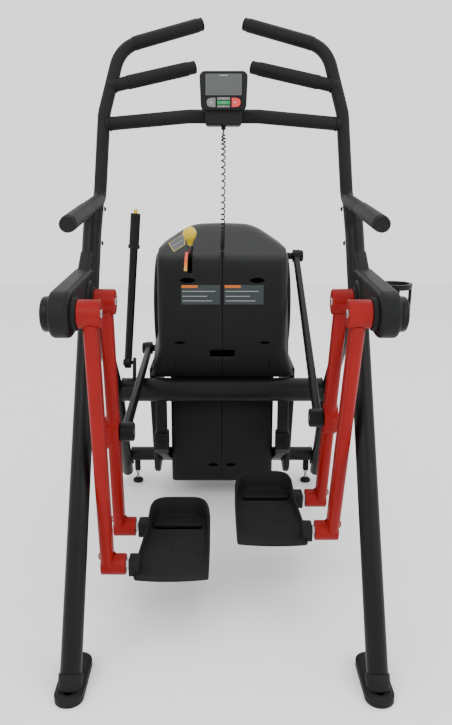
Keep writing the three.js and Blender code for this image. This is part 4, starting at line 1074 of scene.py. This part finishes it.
# Two plain plates, with plain bars only.
for side, s in SIDES:
    node = f"upper_cover_{side}"
    x0, x1 = (-152, -9) if side == "left" else (7, 152)

    def plate_patch(name, a, b, low_z, high_z, look, lift):
        cover_patch(name, [at(a, 560, low_z), at(b, 560, low_z), at(b, 560, high_z), at(a, 560, high_z)], look, node,
                    steps=(14, 3), lift=lift)

    plate_patch(f"plate_{side}", x0, x1, 863, 934, LABEL_GREY, 0.0005)
    plate_patch(f"plate_head_{side}", x0 + 1, x0 + 60, 923.5, 933.5, LABEL_ORANGE, 0.0009)
    for k, (share, z) in enumerate(((0.88, 911), (0.66, 893), (0.80, 876))):
        plate_patch(f"plate_bar_{side}_{k}", x0 + 4, x0 + 4 + 138 * share, z - 1.2, z + 1.2, LABEL_WHITE, 0.0009)

# ---------------------------------------------------------------- side skirts and lower covers
for side, s in SIDES:
    a, b = ordered(CENTRE_X + s * 0.262, CENTRE_X + s * 0.284)
    outline = [(640, 600), (634, 480), (700, 285), *quad((752, 130), (800, 84), (860, 96)),
               *quad((870, 97), (1060, 130), (1110, 400), 16), (1124, 600)]
    outline += [(870 + 223 * math.cos(t), 820 + 223 * math.sin(t)) for t in (-1.22 - k * 0.07 for k in range(1, 10))
                if 820 + 223 * math.sin(t) < 600]
    skirt = finished(f"skirt_{side}", slab([yz(y, z) for y, z in outline], a, b), "moulded_plastic", bevel=0.006, segments=4)
    stands_for(skirt, f"side_skirt_{side}")

    low_outline = [(722, 560), (722, 300), (721, 128), *quad((724, 112), (728, 84), (748, 80)), (860, 79), (1036, 80),
                   *quad((1044, 82), (1070, 110), (1090, 180)), (1100, 300), (1108, 420), (1108, 560)]
    node = f"lower_cover_{side}"
    stations = [0.15, 1.8, 30, 60, 100, 140, 170, 186, 196, 203, 207, 209]
    verts = []
    for x in stations:
        into = max(0.0, x - 190) / 19
        pull = 19 * (1 - math.sqrt(max(0.0, 1 - into * into))) + (1.4 if x < 1 else 0)
        verts += [at(s * x, y + pull * (1 if y < 915 else -1), z) for y, z in low_outline]
    count = len(low_outline)
    faces = [(i * count + k, i * count + k + 1, (i + 1) * count + k + 1, (i + 1) * count + k)
             for i in range(len(stations) - 1) for k in range(count - 1)]
    faces.append(tuple(range((len(stations) - 1) * count, len(stations) * count)))
    SKINS[node] = BVHTree.FromPolygons(verts, faces)
    low_shell = finished(f"low_cover_{side}", (verts, faces), "moulded_plastic", sharp=40)
    wall = low_shell.modifiers.new("wall", "SOLIDIFY")
    wall.thickness = 0.004
    wall.offset = -1
    stands_for(low_shell, node)
    cover_dimple(f"low_cover_grip_{side}", at(s * 37, 722, 162), 0.021, 0.0065, node, s)

# ---------------------------------------------------------------- crank discs and the drive inside the covers
CRANK_AXIS = PIVOT["crank_turn"]
for side, s in SIDES:
    a, b = CENTRE_X + s * 0.248, CENTRE_X + s * 0.264
    disc = turned([(a, 0), (a, 0.2055), (a + s * 0.0015, 0.207), (b - s * 0.005, 0.207), (b - s * 0.0015, 0.2045), (b, 0.2015),
                   (b, 0.180), (b - s * 0.002, 0.177), (b - s * 0.002, 0.060), (b, 0.056), (b, 0.024), (b - s * 0.001, 0.0)],
                  CRANK_AXIS, sides=120)
    stands_for(finished(f"disc_{side}", disc, "black_frame", sharp=50), f"crank_disc_{side}")
    for k in range(6):
        angle = math.pi / 3 * k + 0.3
        spot = Vector((b - s * 0.0005, CRANK_AXIS.y + math.cos(angle) * 0.040, CRANK_AXIS.z + math.sin(angle) * 0.040))
        if k < 4:
            head = turned([(b - s * 0.002, 0), (b - s * 0.002, 0.0055), (b + s * 0.0006, 0.0050), (b + s * 0.0006, 0)], spot,
                          sides=24)
            trim(finished(f"disc_screw_{side}_{k}", head, "steel"), f"crank_disc_{side}")

INNER_LOOKS = {
    "crank_axle": LOOK["steel"], "drive_pulley": material("pulley", (0.30, 0.30, 0.31), 0.38, 1.0, grain=240, bump=0.1),
    "drive_belt": LOOK["black_rubber"], "flywheel": material("cast_wheel", (0.20, 0.20, 0.21), 0.42, 0.9, grain=420),
    "drive_plate": LOOK["black_frame"], "brake_magnet": material("magnet", (0.35, 0.35, 0.36), 0.35, 0.9, grain=500),
}


def round_part(name, node, rows, pivot, look, sides=96):
    return stands_for(finished(name, turned(rows, pivot, sides=sides), look, sharp=45), node)


def mid_x(x):
    return CENTRE_X + x / 1000


axle_low, axle_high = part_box("crank_axle")
round_part("axle", "crank_axle", [(axle_low.x, 0), (axle_low.x, 0.013), (axle_low.x + 0.002, 0.015),
                                  (axle_high.x - 0.002, 0.015), (axle_high.x, 0.013), (axle_high.x, 0)], CRANK_AXIS,
           INNER_LOOKS["crank_axle"], 48)
round_part("pulley", "drive_pulley", [(mid_x(60), 0.0154), (mid_x(60), 0.132), (mid_x(62), 0.135), (mid_x(78), 0.135),
                                      (mid_x(80), 0.132), (mid_x(80), 0.120), (mid_x(73), 0.114), (mid_x(73), 0.035),
                                      (mid_x(80), 0.031), (mid_x(80), 0.0154)], CRANK_AXIS, INNER_LOOKS["drive_pulley"])
WHEEL_AXIS = PIVOT["flywheel_spin"]
round_part("wheel", "flywheel", [(mid_x(-26), 0), (mid_x(-26), 0.020), (mid_x(-20), 0.024), (mid_x(-20), 0.098),
                                 (mid_x(-26), 0.104), (mid_x(-26), 0.128), (mid_x(-24), 0.130), (mid_x(12), 0.130),
                                 (mid_x(14), 0.128), (mid_x(14), 0.104), (mid_x(8), 0.098), (mid_x(8), 0.026),
                                 (mid_x(14), 0.014), (mid_x(60), 0.014), (mid_x(60), 0.032), (mid_x(80), 0.032),
                                 (mid_x(80), 0.010), (mid_x(96), 0.010), (mid_x(96), 0)], WHEEL_AXIS, INNER_LOOKS["flywheel"])


def loop_band(name, node, c0, r0, c1, r1, thick, x0, x1, look):
    """A flat band round two wheels."""
    outer, inner = belt(c0, r0 + thick, c1, r1 + thick, 40), belt(c0, r0, c1, r1, 40)
    rings = [[Vector((x, a, b)) for a, b in row] for x, row in ((x0, inner), (x0, outer), (x1, outer), (x1, inner))]
    verts, faces = loft(rings, closed_ends=False)
    count = len(outer)
    faces += [(3 * count + k, 3 * count + (k + 1) % count, (k + 1) % count, k) for k in range(count)]
    return stands_for(finished(name, (verts, faces), look), node)


loop_band("belt_loop", "drive_belt", (CRANK_AXIS.y, CRANK_AXIS.z), 0.137, (WHEEL_AXIS.y, WHEEL_AXIS.z), 0.0335, 0.003,
          mid_x(60), mid_x(80), INNER_LOOKS["drive_belt"])
plate_rows = [(600, 566), (606, 570), (690, 606), (732, 606), (820, 880), (920, 880), (985, 350), (960, 175), (880, 175),
              (745, 330), (745, 568), (700, 568), (640, 545), (612, 545)]
inner_plate = slab([yz(y, z) for y, z in plate_rows], mid_x(86), mid_x(96))
stands_for(finished("inner_plate", inner_plate, INNER_LOOKS["drive_plate"], bevel=0.0015), "drive_plate")
brake_pivot = PIVOT["brake_swing"]
brake_end = yz(773, 332)
magnet = slab(belt((brake_pivot.y, brake_pivot.z), 0.014, brake_end, 0.017), mid_x(-28), mid_x(16))
stands_for(finished("magnet", magnet, INNER_LOOKS["brake_magnet"], bevel=0.002), "brake_magnet")

# ---------------------------------------------------------------- resistance lever
LEVER_AXIS = PIVOT["resistance_lever_swing"]
knob_middle = at(-119, 580, 1108)
lever_line = knob_middle - LEVER_AXIS
lever_turn = Vector((0, 0, 1)).rotation_difference(lever_line.normalized()).to_matrix().to_4x4()


def on_lever(name, rows, start, node, look, slot=None, sides=44):
    """A solid turned about the lever's line; rows are (height above start, radius)."""
    made = finished(name, turned(rows, (0, 0, 0), "Z", sides), look)
    made.data.transform(Matrix.Translation(LEVER_AXIS + lever_line * start) @ lever_turn)
    return made


lever_length = lever_line.length
rod_rows = [(0.0, 0), (0.0, 0.0045), (lever_length * 0.842, 0.0045), (lever_length * 0.842, 0)]
lever_rod = on_lever("lever_rod", rod_rows, 0.0, "resistance_lever", "steel", sides=24)
stands_for(lever_rod, "resistance_lever")
hub_rows = [(mid_x(-125), 0), (mid_x(-125), 0.0135), (mid_x(-124.5), 0.014), (mid_x(-113.5), 0.014), (mid_x(-113), 0.0135),
            (mid_x(-113), 0)]
trim(finished("lever_hub", turned(hub_rows, LEVER_AXIS, sides=40), "steel"), "resistance_lever")
knob_rows = smooth([(0.0, 0, 0.0075), (0.004, 0, 0.0088), (0.012, 0, 0.0112), (0.024, 0, 0.0162), (0.036, 0, 0.0218),
                    (0.047, 0, 0.0248), (0.057, 0, 0.0238), (0.066, 0, 0.0188), (0.0715, 0, 0.0110), (0.0738, 0, 0.0020)], 4)
knob = on_lever("knob", [(0.0, 0)] + [(p.x, max(p.z, 0.0002)) for p in knob_rows], 0.843, "resistance_knob", "yellow_plastic",
                sides=56)
stands_for(knob, "resistance_knob")
groove = [(0.0, 0.0082), (0.0008, 0.0092), (0.0022, 0.0092), (0.003, 0.0084)]
trim(on_lever("knob_collar", groove, 0.843, "resistance_knob", "yellow_plastic"), "resistance_knob")

# ---------------------------------------------------------------- lock lever
LOCK_FOOT, LOCK_HEAD = at(-361, 600, 632), at(-315, 600, 1200)
lock_line = LOCK_HEAD - LOCK_FOOT
lock_turn = Vector((0, 0, 1)).rotation_difference(lock_line.normalized()).to_matrix().to_4x4()
lock_length = lock_line.length


def on_lock(name, rows, look, sides=44, sharp=40):
    """A solid turned about the lock lever's line; rows are (share of its length, radius in metres)."""
    made = finished(name, turned([(share * lock_length, radius) for share, radius in rows], (0, 0, 0), "Z", sides), look,
                    sharp=sharp)
    made.data.transform(Matrix.Translation(LOCK_FOOT) @ lock_turn)
    return made


stem = on_lock("lock_stem", [(0.02, 0), (0.02, 0.0145), (0.6, 0.0148), (0.762, 0.0150), (0.762, 0.0205), (0.764, 0.0218),
                             (0.782, 0.0218), (0.785, 0.0205), (0.785, 0.015), (0.785, 0)], "black_frame")
stands_for(stem, "lock_lever")
grip_rows = [(0.784, 0), (0.784, 0.0180)]
for k in range(26):
    share = 0.790 + k * 0.0073
    grip_rows += [(share, 0.0186), (share + 0.0036, 0.0178)]
grip_rows += [(0.982, 0.0186), (0.9845, 0.0165), (0.985, 0.0088), (0.958, 0.0086), (0.958, 0.0)]
trim(on_lock("lock_grip", grip_rows, "black_grip", sharp=60), "lock_lever")
button = on_lock("lock_push", [(0.9795, 0), (0.9795, 0.0078), (1.004, 0.0080), (1.0095, 0.0074), (1.0118, 0.0050), (1.012, 0)],
                 "yellow_plastic")
stands_for(button, "lock_button")
a, b = mid_x(-373), mid_x(-349)
eye = turned([(a, 0.0084), (a, 0.0205), (a + 0.0015, 0.022), (b - 0.0015, 0.022), (b, 0.0205), (b, 0.0084)], LOCK_FOOT)
trim(finished("lock_eye", eye, "black_frame"), "lock_lever")
ear = slab(belt((LOCK_FOOT.y, LOCK_FOOT.z), 0.020, yz(583, 565), 0.024), mid_x(-341), mid_x(-331))
stands_for(finished("lock_ear", ear, "black_frame", bevel=0.002), "lock_bracket")
a, b = mid_x(-379), mid_x(-337)
lock_pin = turned([(a, 0), (a, 0.012), (a + 0.001, 0.013), (a + 0.0045, 0.013), (a + 0.0055, 0.0078), (b, 0.0078), (b, 0)],
                  LOCK_FOOT, sides=36)
trim(finished("lock_pin", lock_pin, "black_frame"), "lock_bracket")

# ---------------------------------------------------------------- cup holder
CUP = at(503, 52, 1004)
band_rows = [(CUP.z - 0.008, 0.0432), (CUP.z - 0.008, 0.0498), (CUP.z - 0.004, 0.0508), (CUP.z + 0.004, 0.0516),
             (CUP.z + 0.0072, 0.0520), (CUP.z + 0.008, 0.0512), (CUP.z + 0.008, 0.0438), (CUP.z + 0.007, 0.0432)]
verts, faces = loft([[CUP.xy.to_3d() + Vector((math.cos(a) * radius, math.sin(a) * radius, z)) for a in
                      (2 * math.pi * k / 72 for k in range(72))] for z, radius in band_rows], closed_ends=False)
count = 72
last = (len(band_rows) - 1) * count
faces += [(last + k, last + (k + 1) % count, (k + 1) % count, k) for k in range(count)]
stands_for(finished("cup_band", (verts, faces), "black_frame"), "cup_holder")
base_rows = [(CUP.z - 0.112, 0), (CUP.z - 0.112, 0.033), (CUP.z - 0.110, 0.036), (CUP.z - 0.105, 0.037), (CUP.z - 0.104, 0.036),
             (CUP.z - 0.104, 0.030), (CUP.z - 0.107, 0.028), (CUP.z - 0.107, 0)]
trim(finished("cup_base", turned(base_rows, CUP, "Z", 64), "black_frame"), "cup_holder")
for k, turn in enumerate((0, 90, 270)):
    c, d = math.cos(math.radians(turn)), math.sin(math.radians(turn))
    strap = bent([CUP + Vector((c * 0.0475, d * 0.0475, 0.003)), CUP + Vector((c * 0.0465, d * 0.0465, -0.096)),
                  CUP + Vector((c * 0.024, d * 0.024, -0.109))], 0.010)
    trim(finished(f"cup_strap_{k}", pipe(strap, 0.0048, 20), "black_frame"), "cup_holder")
arm_low, arm_high = at(436, 40, 997), at(458, 78, 1011)
cup_arm = slab(rounded(arm_low.y, arm_low.z, arm_high.y, arm_high.z, 0.004), arm_low.x, arm_high.x)
trim(finished("cup_arm", cup_arm, "black_frame", bevel=0.0015), "cup_holder")

# ---------------------------------------------------------------- floor and light
FLOOR_LOOK = material("pale_floor", (0.90, 0.90, 0.90), 0.75, grain=60, bump=0.02, mottle=0.01)
floor = finished("floor", slab([(-7, -7), (7, -7), (7, 7), (-7, 7)], -0.02, -0.0005, "Z"), FLOOR_LOOK)
for name, place, aim, size, power in (
        ("key_light", (-2.2, -3.2, 3.6), (0, 0, 0.9), 2.6, 70), ("fill_light", (2.8, -2.6, 2.4), (0, 0, 0.8), 3.0, 55),
        ("top_light", (0.2, 0.6, 4.2), (0, 0, 0.6), 3.2, 45)):
    lamp = bpy.data.lights.new(name, "AREA")
    lamp.shape = "SQUARE"
    lamp.size = size
    lamp.energy = power
    holder = bpy.data.objects.new(name, lamp)
    bpy.context.scene.collection.objects.link(holder)
    holder.location = place
    holder.rotation_euler = (Vector(aim) - Vector(place)).to_track_quat("-Z", "Y").to_euler()
world = bpy.data.worlds.new("studio")
bpy.context.scene.world = world
world.use_nodes = True
world.node_tree.nodes["Background"].inputs["Color"].default_value = (0.92, 0.93, 0.94, 1)
world.node_tree.nodes["Background"].inputs["Strength"].default_value = 1.7
